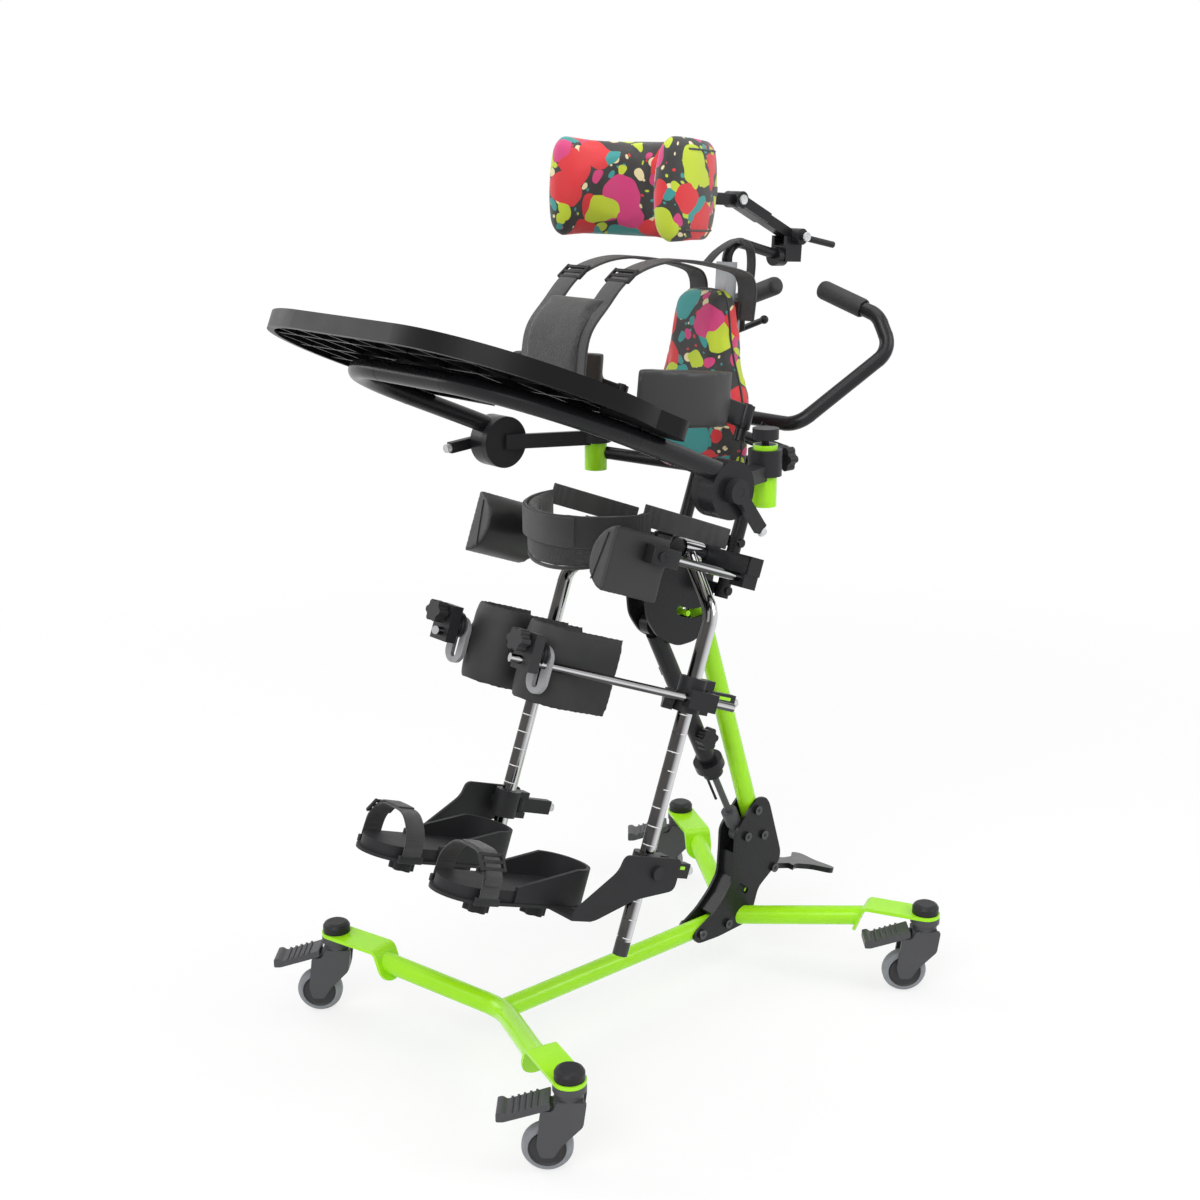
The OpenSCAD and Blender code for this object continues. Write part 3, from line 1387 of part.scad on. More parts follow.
// the cuff fills the space between the middle of the frame and the knee rod
cuff_r = (mount_x + cuff_rod_out - cuff_mid) / 2;
cuff_in = mount_x - cuff_mid - cuff_r;
module knee_mount(s) {
  z = knee_z + knee_rod_drop;
  face = mount_y + mount_t / 2;
  stack = face + bellows_step * bellows_count;
  color(black) on_seat() on_side(s) difference() {
    union() {
      block([mount_x - mount_w / 2, mount_x + mount_w / 2], [mount_y - mount_t / 2, face],
          [z - mount_down, z + mount_up + mount_down]);
      translate([mount_x, mount_y - mount_t / 2 + over, z + mount_up]) rotate([90, 0, 0]) {
        cylinder(r = foot_stud_r, h = knob_h * 0.6);
        translate([0, 0, knob_h * 0.4]) knob(mount_knob_r, mount_knob_h);
      }
      for (i = [0 : bellows_count - 1]) translate([mount_x, face + i * bellows_step, z + mount_up / 2])
          rotate([-90, 0, 0])
        rotate_extrude() polygon([
          [0, 0], [bellows_r * 0.75, 0], [bellows_r, bellows_step / 2], [bellows_r * 0.75,
              bellows_step], [0, bellows_step]
        ]);
      translate([mount_x, stack, z + mount_up]) rotate([90, 0, 180]) linear_extrude(oval_t) difference() {
        translate([0, oval_w / 2 - oval_drop]) oblong(oval_w, oval_drop);
        translate([0, oval_w * 0.35 - oval_drop]) oblong(oval_slot, oval_drop * 0.5);
      }
    }
    on_knee_rod() endlong(knee_rod_d / 2 + fit, -2 * knee_rod_fore, 0, 0, 0);
  }
}
cuff_front = mount_y + mount_t / 2 + bellows_step * bellows_count + oval_t + pad_gap;
module cuff_profile() {
  polygon(rounded([
    [cuff_tuck, -cuff_h / 2], [cuff_t - cuff_tuck / 2, -cuff_h / 2], [cuff_t, -cuff_h / 3], [cuff_t, cuff_h / 3],
    [cuff_t - cuff_tuck / 2, cuff_h / 2], [cuff_tuck, cuff_h / 2], [0, cuff_h / 3], [0, -cuff_h / 3]
  ], cuff_tuck / 2));
}
module knee_pad(s) {
  z = knee_z + knee_rod_drop + mount_up / 2 - cuff_h / 8;
  color(cloth) on_seat() on_side(s) translate([mount_x - cuff_in, cuff_front + cuff_r, z]) {
    rotate([0, 0, 180]) rotate_extrude(angle = 180) translate([cuff_r - cuff_t, 0]) cuff_profile();
    for (side = [-1, 1]) on_side(side) translate([0, cuff_wing, 0]) rotate([90, 0, 0])
      linear_extrude(cuff_wing + over) translate([cuff_r - cuff_t, 0]) cuff_profile();
    block([cuff_in - cuff_boss_half, cuff_in + cuff_boss_side], [-cuff_r, cuff_boss - cuff_r],
      [-cuff_boss_half, cuff_boss_half]);
  }
}
module foot_clamp(s) {
  r = leg_d / 2 + clamp_wall;
  x1 = leg_half + r + arm_gap;
  color(black) on_seat() on_side(s) difference() {
    union() {
      upright(r, foot_z - foot_clamp_h / 2, foot_z + foot_clamp_h / 2, leg_half, leg_y);
      for (end = [-1, 1]) block([leg_half - lever_hub_r, leg_half + lever_hub_r],
        [leg_y + leg_d / 2 + clamp_wall / 2, leg_y + r + 2 * lever_hub_r],
        [end > 0 ? foot_z + lever_h / 2 + rub : foot_z - foot_clamp_h / 2,
        end > 0 ? foot_z + foot_clamp_h / 2 : foot_z - lever_h / 2 - rub]);
      upright(lever_hinge_r, foot_z - foot_clamp_h / 2, foot_z + foot_clamp_h / 2, leg_half, leg_y
          + r + lever_hub_r);
      across(foot_bolt_r * 2, leg_half + leg_d / 2 + clamp_wall / 2, x1 - rub, leg_y, foot_z);
      across(foot_bolt_r, leg_half + leg_d / 2 + clamp_wall / 2, x1 + arm_t + free_gap, leg_y, foot_z);
      across(foot_bolt_r * 1.8, x1 + arm_t + rub, x1 + arm_t + rub + bolt_head_h, leg_y, foot_z);
    }
    upright(leg_d / 2 + fit, foot_z - foot_clamp_h, foot_z + foot_clamp_h, leg_half, leg_y);
  }
}
module foot_lever(s) {
  color(black) on_seat() on_side(s) clamp_lever(foot_z, lever_len);
}
module foot_plate(s) {
  r = leg_d / 2 + clamp_wall;
  x1 = leg_half + r + arm_gap;
  front = sole_aft - sole_len;
  top = sole_z + sole_t;
  color(black) on_seat() on_side(s) difference() {
    union() {
      sheet(x1, arm_t) translate([leg_y, foot_z])
        polygon(rounded(spread(arm_shares, arm_len, foot_z - sole_z), arm_round));
      block([foot_x, x1 + arm_t], [leg_y - arm_len * arm_toe_share, leg_y - arm_len * arm_foot_share],
          [sole_z, top]);
      translate([foot_x, front, sole_z]) linear_extrude(sole_t) translate([0, sole_half])
          oblong(2 * sole_half, sole_len);
      translate([foot_x, front, top - over]) linear_extrude(insole_t) translate([0, sole_half])
        oblong(2 * (sole_half - heel_t), sole_len - 2 * heel_t);
      translate([foot_x, heel_y, top]) {
        rotate_extrude(angle = 180) translate([heel_r - heel_t, 0]) square([heel_t, heel_h]);
        for (side = [-1, 1]) translate([side > 0 ? heel_r - heel_t : -heel_r, 0, 0]) rotate([90, 0, 90])
          linear_extrude(heel_t) polygon([[0, 0], [0, heel_h], [-heel_fore, heel_low], [-heel_fore, 0]]);
      }
      for (y = foot_knobs) {
        upright(foot_stud_r, sole_z - foot_stud_h, sole_z + over, foot_x, y);
        translate([foot_x, y, sole_z - foot_stud_h - foot_knob_h + over]) knob(foot_knob_r, foot_knob_h);
      }
    }
    across(foot_bolt_r + fit, x1 - over, x1 + arm_t + over, leg_y, foot_z);
  }
}

// side pads
module hip_pad(s) {
  sag = hip_pad_t;
  half = hip_pad_h / 2;
  r = (half * half + sag * sag) / (2 * sag);
  color(black) on_seat() on_side(s) {
    endlong(hip_rod_d / 2, hip_rod_rear - hip_rod_len, hip_rod_rear, hip_rod_x, hip_rod_z);
    block([hip_pad_x - over, hip_rod_x + hip_rod_d / 2], [hip_rod_rear - hip_rod_len - hip_block,
        hip_rod_rear - hip_rod_len + hip_block],
      [hip_rod_z - hip_rod_d, hip_rod_z + hip_rod_d]);
    intersection() {
      endlong(r, hip_pad_fore, hip_pad_fore + hip_pad_len, hip_pad_x - sag + r, hip_pad_z);
      block([hip_pad_x - 2 * sag, hip_pad_x], [hip_pad_fore - over, hip_pad_fore + hip_pad_len + over],
        [hip_pad_z - half - over, hip_pad_z + half + over]);
    }
  }
}
module chest_pad(s) {
  r = chest_len;
  color(black) on_seat() on_side(s) difference() {
    union() {
      translate([chest_x, chest_fore + chest_len / 2, chest_z]) rotate([chest_pitch, 0, 0])
        translate([0, -chest_len / 2, -chest_h / 2]) linear_extrude(chest_h) intersection() {
          translate([0, chest_t / 2]) oblong(chest_t, chest_len);
          translate([chest_t / 2 - r, chest_len / 2]) circle(r = r);
        }
      upright(chest_barrel_r, chest_barrel_low, chest_barrel_high, chest_hinge_x, chest_hinge_y);
      block([chest_hinge_x - chest_barrel_r / 2, chest_hinge_x + chest_barrel_r / 2],
        [chest_fore + chest_len - chest_t, chest_hinge_y], [chest_barrel_low, chest_barrel_high]);
    }
    upright(chest_pin_r + fit, chest_z - chest_h, chest_z + chest_h, chest_hinge_x, chest_hinge_y);
  }
}

module fork_front_left() { fork(1, -1); }
module fork_front_right() { fork(-1, -1); }
module fork_rear_left() { fork(1, 1); }
module fork_rear_right() { fork(-1, 1); }
module wheel_front_left() { wheel(1, -1); }
module wheel_front_right() { wheel(-1, -1); }
module wheel_rear_left() { wheel(1, 1); }
module wheel_rear_right() { wheel(-1, 1); }
module brake_front_left() { brake(1, -1); }
module brake_front_right() { brake(-1, -1); }
module brake_rear_left() { brake(1, 1); }
module brake_rear_right() { brake(-1, 1); }

base_frame();
caster_caps();
mast();
side_plates();
pins_and_bolts();
foot_pedal();
gas_rod();
gas_cylinder();
fork_front_left();
fork_front_right();
fork_rear_left();
fork_rear_right();
wheel_front_left();
wheel_front_right();
wheel_rear_left();
wheel_rear_right();
brake_front_left();
brake_front_right();
brake_rear_left();
brake_rear_right();
hip_bracket();
back_frame();
grips();
hand_lever();
arm_sockets();
tray_mounts();
tray_frame();
tray_top();
hub_lever_left();
hub_lever_right();
back_post();
back_pad();
head_arm();
head_link();
head_lever();
head_pad();
harness();
hip_belt();
leg_tube(1);  // leg_tube_left
leg_tube(-1);  // leg_tube_right
knee_clamp(1);  // knee_clamp_left
knee_clamp(-1);  // knee_clamp_right
knee_lever(1);  // knee_lever_left
knee_lever(-1);  // knee_lever_right
knee_rod(1);  // knee_rod_left
knee_rod(-1);  // knee_rod_right
knee_mount(1);  // knee_mount_left
knee_mount(-1);  // knee_mount_right
knee_pad(1);  // knee_pad_left
knee_pad(-1);  // knee_pad_right
foot_clamp(1);  // foot_clamp_left
foot_clamp(-1);  // foot_clamp_right
foot_lever(1);  // foot_lever_left
foot_lever(-1);  // foot_lever_right
foot_plate(1);  // foot_plate_left
foot_plate(-1);  // foot_plate_right
hip_pad(1);  // hip_pad_left
hip_pad(-1);  // hip_pad_right
chest_pad(1);  // chest_pad_left
chest_pad(-1);  // chest_pad_right
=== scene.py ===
import math

import bpy
from bpy.props import FloatProperty, FloatVectorProperty, PointerProperty
from bpy.types import Operator, Panel, PropertyGroup
from mathutils import Matrix, Vector


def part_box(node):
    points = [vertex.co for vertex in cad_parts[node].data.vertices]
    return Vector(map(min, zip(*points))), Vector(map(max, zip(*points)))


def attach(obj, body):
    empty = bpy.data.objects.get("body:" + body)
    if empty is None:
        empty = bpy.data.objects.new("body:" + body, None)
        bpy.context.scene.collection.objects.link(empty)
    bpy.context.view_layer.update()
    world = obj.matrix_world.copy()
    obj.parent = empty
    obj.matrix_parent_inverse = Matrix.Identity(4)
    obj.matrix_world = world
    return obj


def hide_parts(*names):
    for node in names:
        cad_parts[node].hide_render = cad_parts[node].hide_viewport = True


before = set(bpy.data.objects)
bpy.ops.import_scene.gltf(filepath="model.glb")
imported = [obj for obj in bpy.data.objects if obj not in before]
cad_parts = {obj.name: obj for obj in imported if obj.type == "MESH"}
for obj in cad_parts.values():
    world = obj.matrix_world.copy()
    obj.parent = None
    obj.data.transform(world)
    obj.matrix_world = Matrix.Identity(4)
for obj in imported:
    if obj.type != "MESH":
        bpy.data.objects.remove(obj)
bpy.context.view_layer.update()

bl_info = {
    "name": "Standing Frame Dressing",
    "version": (1, 0, 0),
    "blender": (4, 5, 0),
    "location": "3D View > Sidebar > Stand",
    "description": "Finishes, cushions, straps and studio for a child's standing frame",
    "category": "Object",
}

MM = 0.001
WELD = 0.02 * MM
WHITE = (1, 1, 1, 1)


def shift(x, y, z):
    """A move in millimetres."""
    return Matrix.Translation((x * MM, y * MM, z * MM))


def turn(degrees, axis):
    """A turn about one axis."""
    return Matrix.Rotation(math.radians(degrees), 4, axis)


# The part's own frames: its middle plane, the tilting body, the back post and the hip belt.
# Sizes and places below are in millimetres of one of these frames.
MIDDLE_MM = 21
MIDDLE = MIDDLE_MM * MM
LEAN = 20
RECLINE = 17
TILT = shift(MIDDLE_MM, 130, 632) @ turn(-LEAN, "X")
POST = TILT @ shift(0, -4, 160) @ turn(RECLINE, "X")
BELT = TILT @ shift(0, -180, 19) @ turn(LEAN, "X")
ACROSS = Matrix(((0, 0, 1, 0), (1, 0, 0, 0), (0, 1, 0, 0), (0, 0, 0, 1)))
OVER = Matrix(((1, 0, 0, 0), (0, 0, -1, 0), (0, 1, 0, 0), (0, 0, 0, 1)))
LEG_LINE = Vector((0, math.sin(math.radians(LEAN)), math.cos(math.radians(LEAN))))
SIDEWAYS, BACKWARD, UPWARD = Vector((1, 0, 0)), Vector((0, 1, 0)), Vector((0, 0, 1))
TILT_BACK = TILT.to_3x3() @ BACKWARD


def colour(name, description, default):
    """A colour setting."""
    return FloatVectorProperty(
        name=name, description=description, subtype="COLOR", size=3, min=0, max=1,
        default=default)


def length(name, description, low, high, default):
    """A length setting in metres."""
    return FloatProperty(
        name=name, description=description, subtype="DISTANCE", unit="LENGTH",
        min=low, max=high, default=default)


class StandColours(PropertyGroup):
    """Colours a user would change."""
    frame_green: colour(
        "Frame green", "Powder coat of the base, mast and sockets", (0.385, 0.86, 0.012))
    coat_black: colour("Black coat", "Satin coat of the black metal", (0.014, 0.014, 0.016))
    moulded_black: colour(
        "Moulded black", "Plastic of the knobs, levers, forks and tray", (0.022, 0.022, 0.024))
    tyre_grey: colour("Tyre grey", "Tread of the caster wheels", (0.24, 0.25, 0.27))
    post_grey: colour("Post grey", "Anodised back post", (0.33, 0.34, 0.35))
    button_grey: colour("Button grey", "Push buttons on the clamp levers", (0.62, 0.63, 0.64))
    print_red: colour("Print red", "First colour of the fabric print", (0.72, 0.012, 0.022))
    print_lime: colour("Print lime", "Second colour of the fabric print", (0.55, 0.68, 0.015))
    print_teal: colour("Print teal", "Third colour of the fabric print", (0.015, 0.30, 0.29))
    print_pink: colour("Print pink", "Fourth colour of the fabric print", (0.66, 0.03, 0.19))
    print_cream: colour("Print cream", "Dots of the fabric print", (0.86, 0.74, 0.42))


class StandSizes(PropertyGroup):
    """Sizes a user would change."""
    cushion_swell: length(
        "Cushion swell", "Most that a cushion point moves as it fills", 0.002, 0.016, 0.008)
    piping: length("Piping", "Radius of the sewn piping", 0.001, 0.004, 0.0019)
    webbing: length("Webbing", "Thickness of the harness and toe webbing", 0.001, 0.004, 0.0024)
    toe_strap: length("Toe strap", "Width of the strap over each sandal", 0.02, 0.05, 0.030)
    toe_rise: length("Toe rise", "Height of the toe strap above the sole", 0.03, 0.08, 0.060)
    ring_pitch: length(
        "Ring pitch", "Spacing of the height marks on the leg tubes", 0.01, 0.05, 0.025)


class StandStage(PropertyGroup):
    """Camera and studio."""
    camera_place: FloatVectorProperty(
        name="Camera place", description="Where the camera stands", subtype="TRANSLATION",
        unit="LENGTH", size=3, default=(1.6297, -1.4358, 1.2))
    camera_turn: FloatVectorProperty(
        name="Camera turn", description="How the camera is turned", subtype="EULER",
        unit="ROTATION", size=3,
        default=(math.radians(90 - 15.41), 0, math.radians(48.90)))
    lens: FloatProperty(
        name="Lens", description="Focal length in millimetres on a 36 mm sensor",
        min=20, max=200, default=49.94)
    floor_tone: colour("Floor tone", "Colour of the floor", (0.93, 0.93, 0.93))
    daylight: FloatProperty(
        name="Daylight", description="Strength of the even light from all round",
        min=0, max=2, default=0.42)


# ---------------------------------------------------------------- modelling


def only(obj):
    """Selects one object and makes it active."""
    bpy.ops.object.select_all(action="DESELECT")
    obj.select_set(True)
    bpy.context.view_layer.objects.active = obj


def settle(obj, place=None):
    """Puts a mesh in its place and leaves its object at the origin."""
    if place is not None:
        obj.matrix_world = place
    only(obj)
    bpy.ops.object.transform_apply(location=True, rotation=True, scale=True)
    return obj


def edited(obj, action, **settings):
    """Runs one mesh operator on the whole mesh."""
    only(obj)
    bpy.ops.object.mode_set(mode="EDIT")
    bpy.ops.mesh.select_all(action="SELECT")
    getattr(bpy.ops.mesh, action)(**settings)
    bpy.ops.object.mode_set(mode="OBJECT")
    return obj


def finish_with(obj, kind, **settings):
    """Adds one modifier and applies it."""
    only(obj)
    modifier = obj.modifiers.new(kind.lower(), kind)
    for key, value in settings.items():
        setattr(modifier, key, value)
    bpy.ops.object.modifier_apply(modifier=modifier.name)
    return obj


def smooth(obj, degrees=40):
    """Smooth shading up to an angle."""
    only(obj)
    bpy.ops.object.shade_smooth_by_angle(angle=math.radians(degrees))
    return obj


def eased(obj):
    """One subdivision, and smooth shading all over."""
    finish_with(obj, "SUBSURF", levels=1, render_levels=1)
    return smooth(obj, 180)


def name_it(obj, name):
    """Names an object and its mesh."""
    obj.name = name
    obj.data.name = name
    return obj


def block(name, size, place, edge):
    """A block with rounded edges, sizes in millimetres."""
    bpy.ops.object.select_all(action="DESELECT")
    bpy.ops.mesh.primitive_cube_add(size=1.0)
    obj = name_it(bpy.context.object, name)
    obj.scale = [side * MM for side in size]
    settle(obj)
    finish_with(obj, "BEVEL", width=edge * MM, segments=3, limit_method="ANGLE")
    return smooth(settle(obj, place))


def stud(name, radius, height, place, edge, dish=0.0, sides=48):
    """A turned stud standing on local z, with a rounded edge and a dished top."""
    rim_share = 0.28
    bpy.ops.object.select_all(action="DESELECT")
    bpy.ops.mesh.primitive_cylinder_add(
        vertices=sides, radius=radius * MM, depth=height * MM)
    obj = name_it(bpy.context.object, name)
    if dish:
        bpy.ops.object.mode_set(mode="EDIT")
        bpy.ops.mesh.select_mode(type="FACE")
        bpy.ops.mesh.select_all(action="DESELECT")
        bpy.ops.object.mode_set(mode="OBJECT")
        for face in obj.data.polygons:
            face.select = face.normal.z > 0.9
        bpy.ops.object.mode_set(mode="EDIT")
        bpy.ops.mesh.inset(thickness=radius * rim_share * MM)
        bpy.ops.transform.translate(value=(0, 0, -dish * MM))
        bpy.ops.object.mode_set(mode="OBJECT")
    finish_with(obj, "BEVEL", width=edge * MM, segments=3, limit_method="ANGLE")
    return smooth(settle(obj, place))


def flowing(points, steps=8):
    """A smooth run of points through the given ones."""
    run = []
    for i in range(len(points) - 1):
        before = points[max(i - 1, 0)]
        start, end = points[i], points[i + 1]
        after = points[min(i + 2, len(points) - 1)]
        for k in range(steps):
            t = k / steps
            run.append(tuple(
                0.5 * (2 * b + (c - a) * t + (2 * a - 5 * b + 4 * c - d) * t ** 2
                       + (3 * b - a - 3 * c + d) * t ** 3)
                for a, b, c, d in zip(before, start, end, after)))
    run.append(tuple(points[-1]))
    return run


def compass(first, last, step):
    """Level directions from one angle to another, in degrees."""
    return [(math.cos(math.radians(a)), math.sin(math.radians(a)))
            for a in range(first, last, step)]


def swept(name, points, radius, half_width, place, closed=False):
    """A curve swept with a round edge, made a mesh. Points are in millimetres."""
    bpy.ops.object.select_all(action="DESELECT")
    bpy.ops.curve.primitive_bezier_curve_add()
    obj = name_it(bpy.context.object, name)
    path = obj.data
    path.splines.clear()
    spline = path.splines.new("POLY")
    spline.points.add(len(points) - 1)
    for point, at in zip(spline.points, points):
        point.co = (at[0] * MM, at[1] * MM, (at[2] if len(at) > 2 else 0) * MM, 1)
    spline.use_cyclic_u = closed
    path.dimensions = "3D"
    path.twist_mode = "Z_UP" if half_width else "MINIMUM"
    path.extrude = half_width * MM
    path.bevel_depth = radius * MM
    path.bevel_resolution = 3
    path.use_fill_caps = not closed
    only(obj)
    bpy.ops.object.convert(target="MESH")
    obj = name_it(bpy.context.object, name)
    edited(obj, "remove_doubles", threshold=WELD)
    edited(obj, "normals_make_consistent", inside=False)
    return smooth(settle(obj, place), 50)


def band(name, points, width, thickness, place):
    """A flat strap that follows points in a plane, its width across the plane."""
    return swept(name, points, thickness / 2, (width - thickness) / 2, place)


def cord_line(name, points, radius, place, closed=False):
    """A round bead or rod along points."""
    return swept(name, points, radius, 0, place, closed)


def cut_away(obj, at, towards):
    """Cuts a mesh by a plane and drops what lies on the side it points to."""
    return edited(obj, "bisect", plane_co=at, plane_no=towards, use_fill=True,
                  clear_outer=True, threshold=1e-6)


def from_solid(node, name):
    """A merged copy of a solid, with its own mesh, to be formed further."""
    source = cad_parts[node]
    obj = source.copy()
    obj.data = source.data.copy()
    for key in list(obj.keys()):
        del obj[key]
    bpy.context.scene.collection.objects.link(obj)
    obj.parent = None
    obj.matrix_world = Matrix.Identity(4)
    obj.hide_render = False
    obj.hide_viewport = False
    obj.data.materials.clear()
    return edited(name_it(obj, name), "remove_doubles", threshold=WELD)


def skin(obj, voxel, rounds=4, inward=0.0):
    """An even mesh over a form, its edges eased, pulled in a little."""
    finish_with(obj, "REMESH", mode="VOXEL", voxel_size=voxel * MM)
    finish_with(obj, "SMOOTH", factor=0.5, iterations=rounds)
    if inward:
        finish_with(obj, "DISPLACE", strength=-inward * MM, mid_level=0.0)
    return obj


def swell(obj, cap, pressure=4.0, steps=20):
    """Fills a closed cover with air as cloth and keeps each point near its place."""
    rest = [vertex.co.copy() for vertex in obj.data.vertices]
    only(obj)
    cloth = obj.modifiers.new("cover", "CLOTH")
    cloth.settings.use_pressure = True
    cloth.settings.uniform_pressure_force = pressure
    cloth.settings.effector_weights.gravity = 0.0
    cloth.point_cache.frame_start = 1
    cloth.point_cache.frame_end = steps
    scene = bpy.context.scene
    for step in range(1, steps + 1):
        scene.frame_set(step)
    bpy.ops.object.modifier_apply(modifier=cloth.name)
    for vertex, was in zip(obj.data.vertices, rest):
        move = vertex.co - was
        if move.length > cap:
            vertex.co = was + move * (cap / move.length)
    scene.frame_set(1)
    finish_with(obj, "SMOOTH", factor=0.5, iterations=2)
    return eased(obj)


def joined(name, pieces):
    """Several meshes as one piece."""
    bpy.ops.object.select_all(action="DESELECT")
    for piece in pieces:
        piece.select_set(True)
    bpy.context.view_layer.objects.active = pieces[0]
    bpy.ops.object.join()
    return name_it(bpy.context.object, name)


def hugging(obj, place, ways, centre, near, level, spread):
    """Points of a cushion's surface near a plane, one along each way, in millimetres."""
    straying = 1.6
    inverse = place.inverted()
    local = [point for point in (inverse @ vertex.co for vertex in obj.data.vertices)
             if abs(point.dot(near) - level) < spread]
    line = []
    for way in ways:
        best = max(local, key=lambda point: (point - centre).dot(way)
                   - straying * (point - centre).cross(way).length)
        line.append(tuple(part / MM for part in best))
    return line


def twin(obj, name):
    """The mirror image on the other side, with its own mesh."""
    other = obj.copy()
    other.data = obj.data.copy()
    bpy.context.scene.collection.objects.link(other)
    name_it(other, name)
    mirror = Matrix.Translation((2 * MIDDLE, 0, 0)) @ Matrix.Scale(-1, 4, SIDEWAYS)
    other.data.transform(mirror)
    return edited(other, "flip_normals")


def hand_of(node_stem):
    """Names of the side at greater x, then the other."""
    low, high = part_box(node_stem + "_left")
    if (low[0] + high[0]) / 2 > MIDDLE:
        return "left", "right"
    return "right", "left"


def dress(obj, material, body):
    """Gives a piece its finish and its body."""
    obj.data.materials.clear()
    obj.data.materials.append(material)
    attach(obj, body)
    return obj


def stands_for(node):
    """Hides the solid whose place a cushion takes."""
    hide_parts(node)


def dress_pair(pieces, kit, sides, body, cushion=None):
    """Dresses pieces and their mirror images. The cushion stands for the body's solid."""
    for piece, stem, finish, slot in pieces:
        for side, obj in zip(sides, (piece, twin(piece, stem + sides[1]))):
            dress(obj, kit[finish], body + side)
            if stem == cushion:
                stands_for(body + side)


# ---------------------------------------------------------------- finishes


def scaled(tone, *shares):
    """A colour made darker or lighter, once for each share."""
    made = [[part * share for part in tone] for share in shares]
    return made if len(made) > 1 else made[0]


class Wiring:
    """A node tree and the short calls that wire it."""

    def __init__(self, tree):
        self.tree = tree

    def add(self, kind, setup=None, **inputs):
        """A node with its settings and inputs, values or sockets."""
        node = self.tree.nodes.new(kind)
        for key, value in (setup or {}).items():
            setattr(node, key, value)
        for key, value in inputs.items():
            socket = node.inputs[int(key[1:]) if key[0] == "i" and key[1:].isdigit() else key]
            if isinstance(value, bpy.types.NodeSocket):
                self.tree.links.new(value, socket)
            else:
                socket.default_value = value
        return node

    def sum(self, operation, a, b=0.0):
        """Arithmetic on two values."""
        return self.add("ShaderNodeMath", {"operation": operation}, i0=a, i1=b).outputs[0]

    def vector(self, operation, a, b, result=0):
        """Arithmetic on two vectors."""
        return self.add("ShaderNodeVectorMath", {"operation": operation},
                        i0=a, i1=b).outputs[result]


class Finish(Wiring):
    """One material, its shader and the patterns that lead to it."""

    def __init__(self, name, tone, roughness, metallic=0.0, coat=0.0, sheen=0.0, gloss=0.5):
        self.material = bpy.data.materials.new(name)
        self.material.use_nodes = True
        super().__init__(self.material.node_tree)
        self.shader = self.tree.nodes["Principled BSDF"]
        for socket, value in (
                ("Base Color", (*tone, 1)), ("Roughness", roughness), ("Metallic", metallic),
                ("Specular IOR Level", gloss), ("Coat Weight", coat), ("Coat Roughness", 0.12),
                ("Sheen Weight", sheen), ("Sheen Roughness", 0.5)):
            self.shader.inputs[socket].default_value = value
        where = self.add("ShaderNodeTexCoord")
        self.place = where.outputs["Object"]
        self.facing = where.outputs["Normal"]

    def noise(self, scale, detail=3.0, place=None):
        """Soft noise over the piece, scale per metre."""
        return self.add("ShaderNodeTexNoise", Vector=place or self.place, Scale=scale,
                        Detail=detail).outputs["Fac"]

    def spread(self, value, low, high):
        """A value from 0 to 1 spread over a range."""
        return self.add("ShaderNodeMapRange", None, Value=value, **{
            "To Min": low, "To Max": high}).outputs["Result"]

    def along(self, direction):
        """How far each point lies along a direction."""
        return self.vector("DOT_PRODUCT", self.place, direction, "Value")

    def weave(self, warp, weft):
        """Two sets of threads that cross."""
        return self.sum("MULTIPLY", self.sum("SINE", self.along(warp)),
                        self.sum("SINE", self.along(weft)))

    def mix(self, share, a, b):
        """Two colours by a share."""
        node = self.add("ShaderNodeMix", {"data_type": "RGBA"})
        for index, value in ((0, share), (6, a), (7, b)):
            if isinstance(value, bpy.types.NodeSocket):
                self.tree.links.new(value, node.inputs[index])
            elif index:
                node.inputs[index].default_value = (*value[:3], 1)
            else:
                node.inputs[index].default_value = value
        return node.outputs[2]

    def to(self, socket, value):
        """Leads a value to one of the shader's sockets."""
        self.tree.links.new(value, self.shader.inputs[socket])

    def uneven(self, scale, low, high):
        """Roughness that changes over the surface."""
        self.to("Roughness", self.spread(self.noise(scale), low, high))

    def bump(self, height, strength, distance=0.001):
        """Fine relief."""
        node = self.add("ShaderNodeBump", Height=height, Strength=strength, Distance=distance)
        self.to("Normal", node.outputs["Normal"])

    def streaks(self, wave, dark, bright):
        """Painted reflection: long dark and bright bands that a polished tube would reflect."""
        return self.mix(self.spread(self.sum("SINE", wave), 0.0, 1.0), dark, bright)

    def mottle(self, tone, scale, share):
        """Slight change of tone over the surface."""
        darker, lighter = scaled(tone, 1 - share, 1 + share)
        lighter = [min(1, part) for part in lighter]
        self.to("Base Color", self.mix(self.noise(scale), darker, lighter))


def paint(name, tone, roughness, grain, depth, coat=0.0, metallic=0.0, share=0.08, gloss=0.5):
    """A coat or moulding: mottled tone, uneven gloss and a fine grain."""
    made = Finish(name, tone, roughness, metallic, coat, gloss=gloss)
    made.mottle(tone, 14, share)
    made.uneven(38, roughness - 0.06, roughness + 0.08)
    made.bump(made.noise(grain, 2.0), depth, 0.0005)
    return made.material


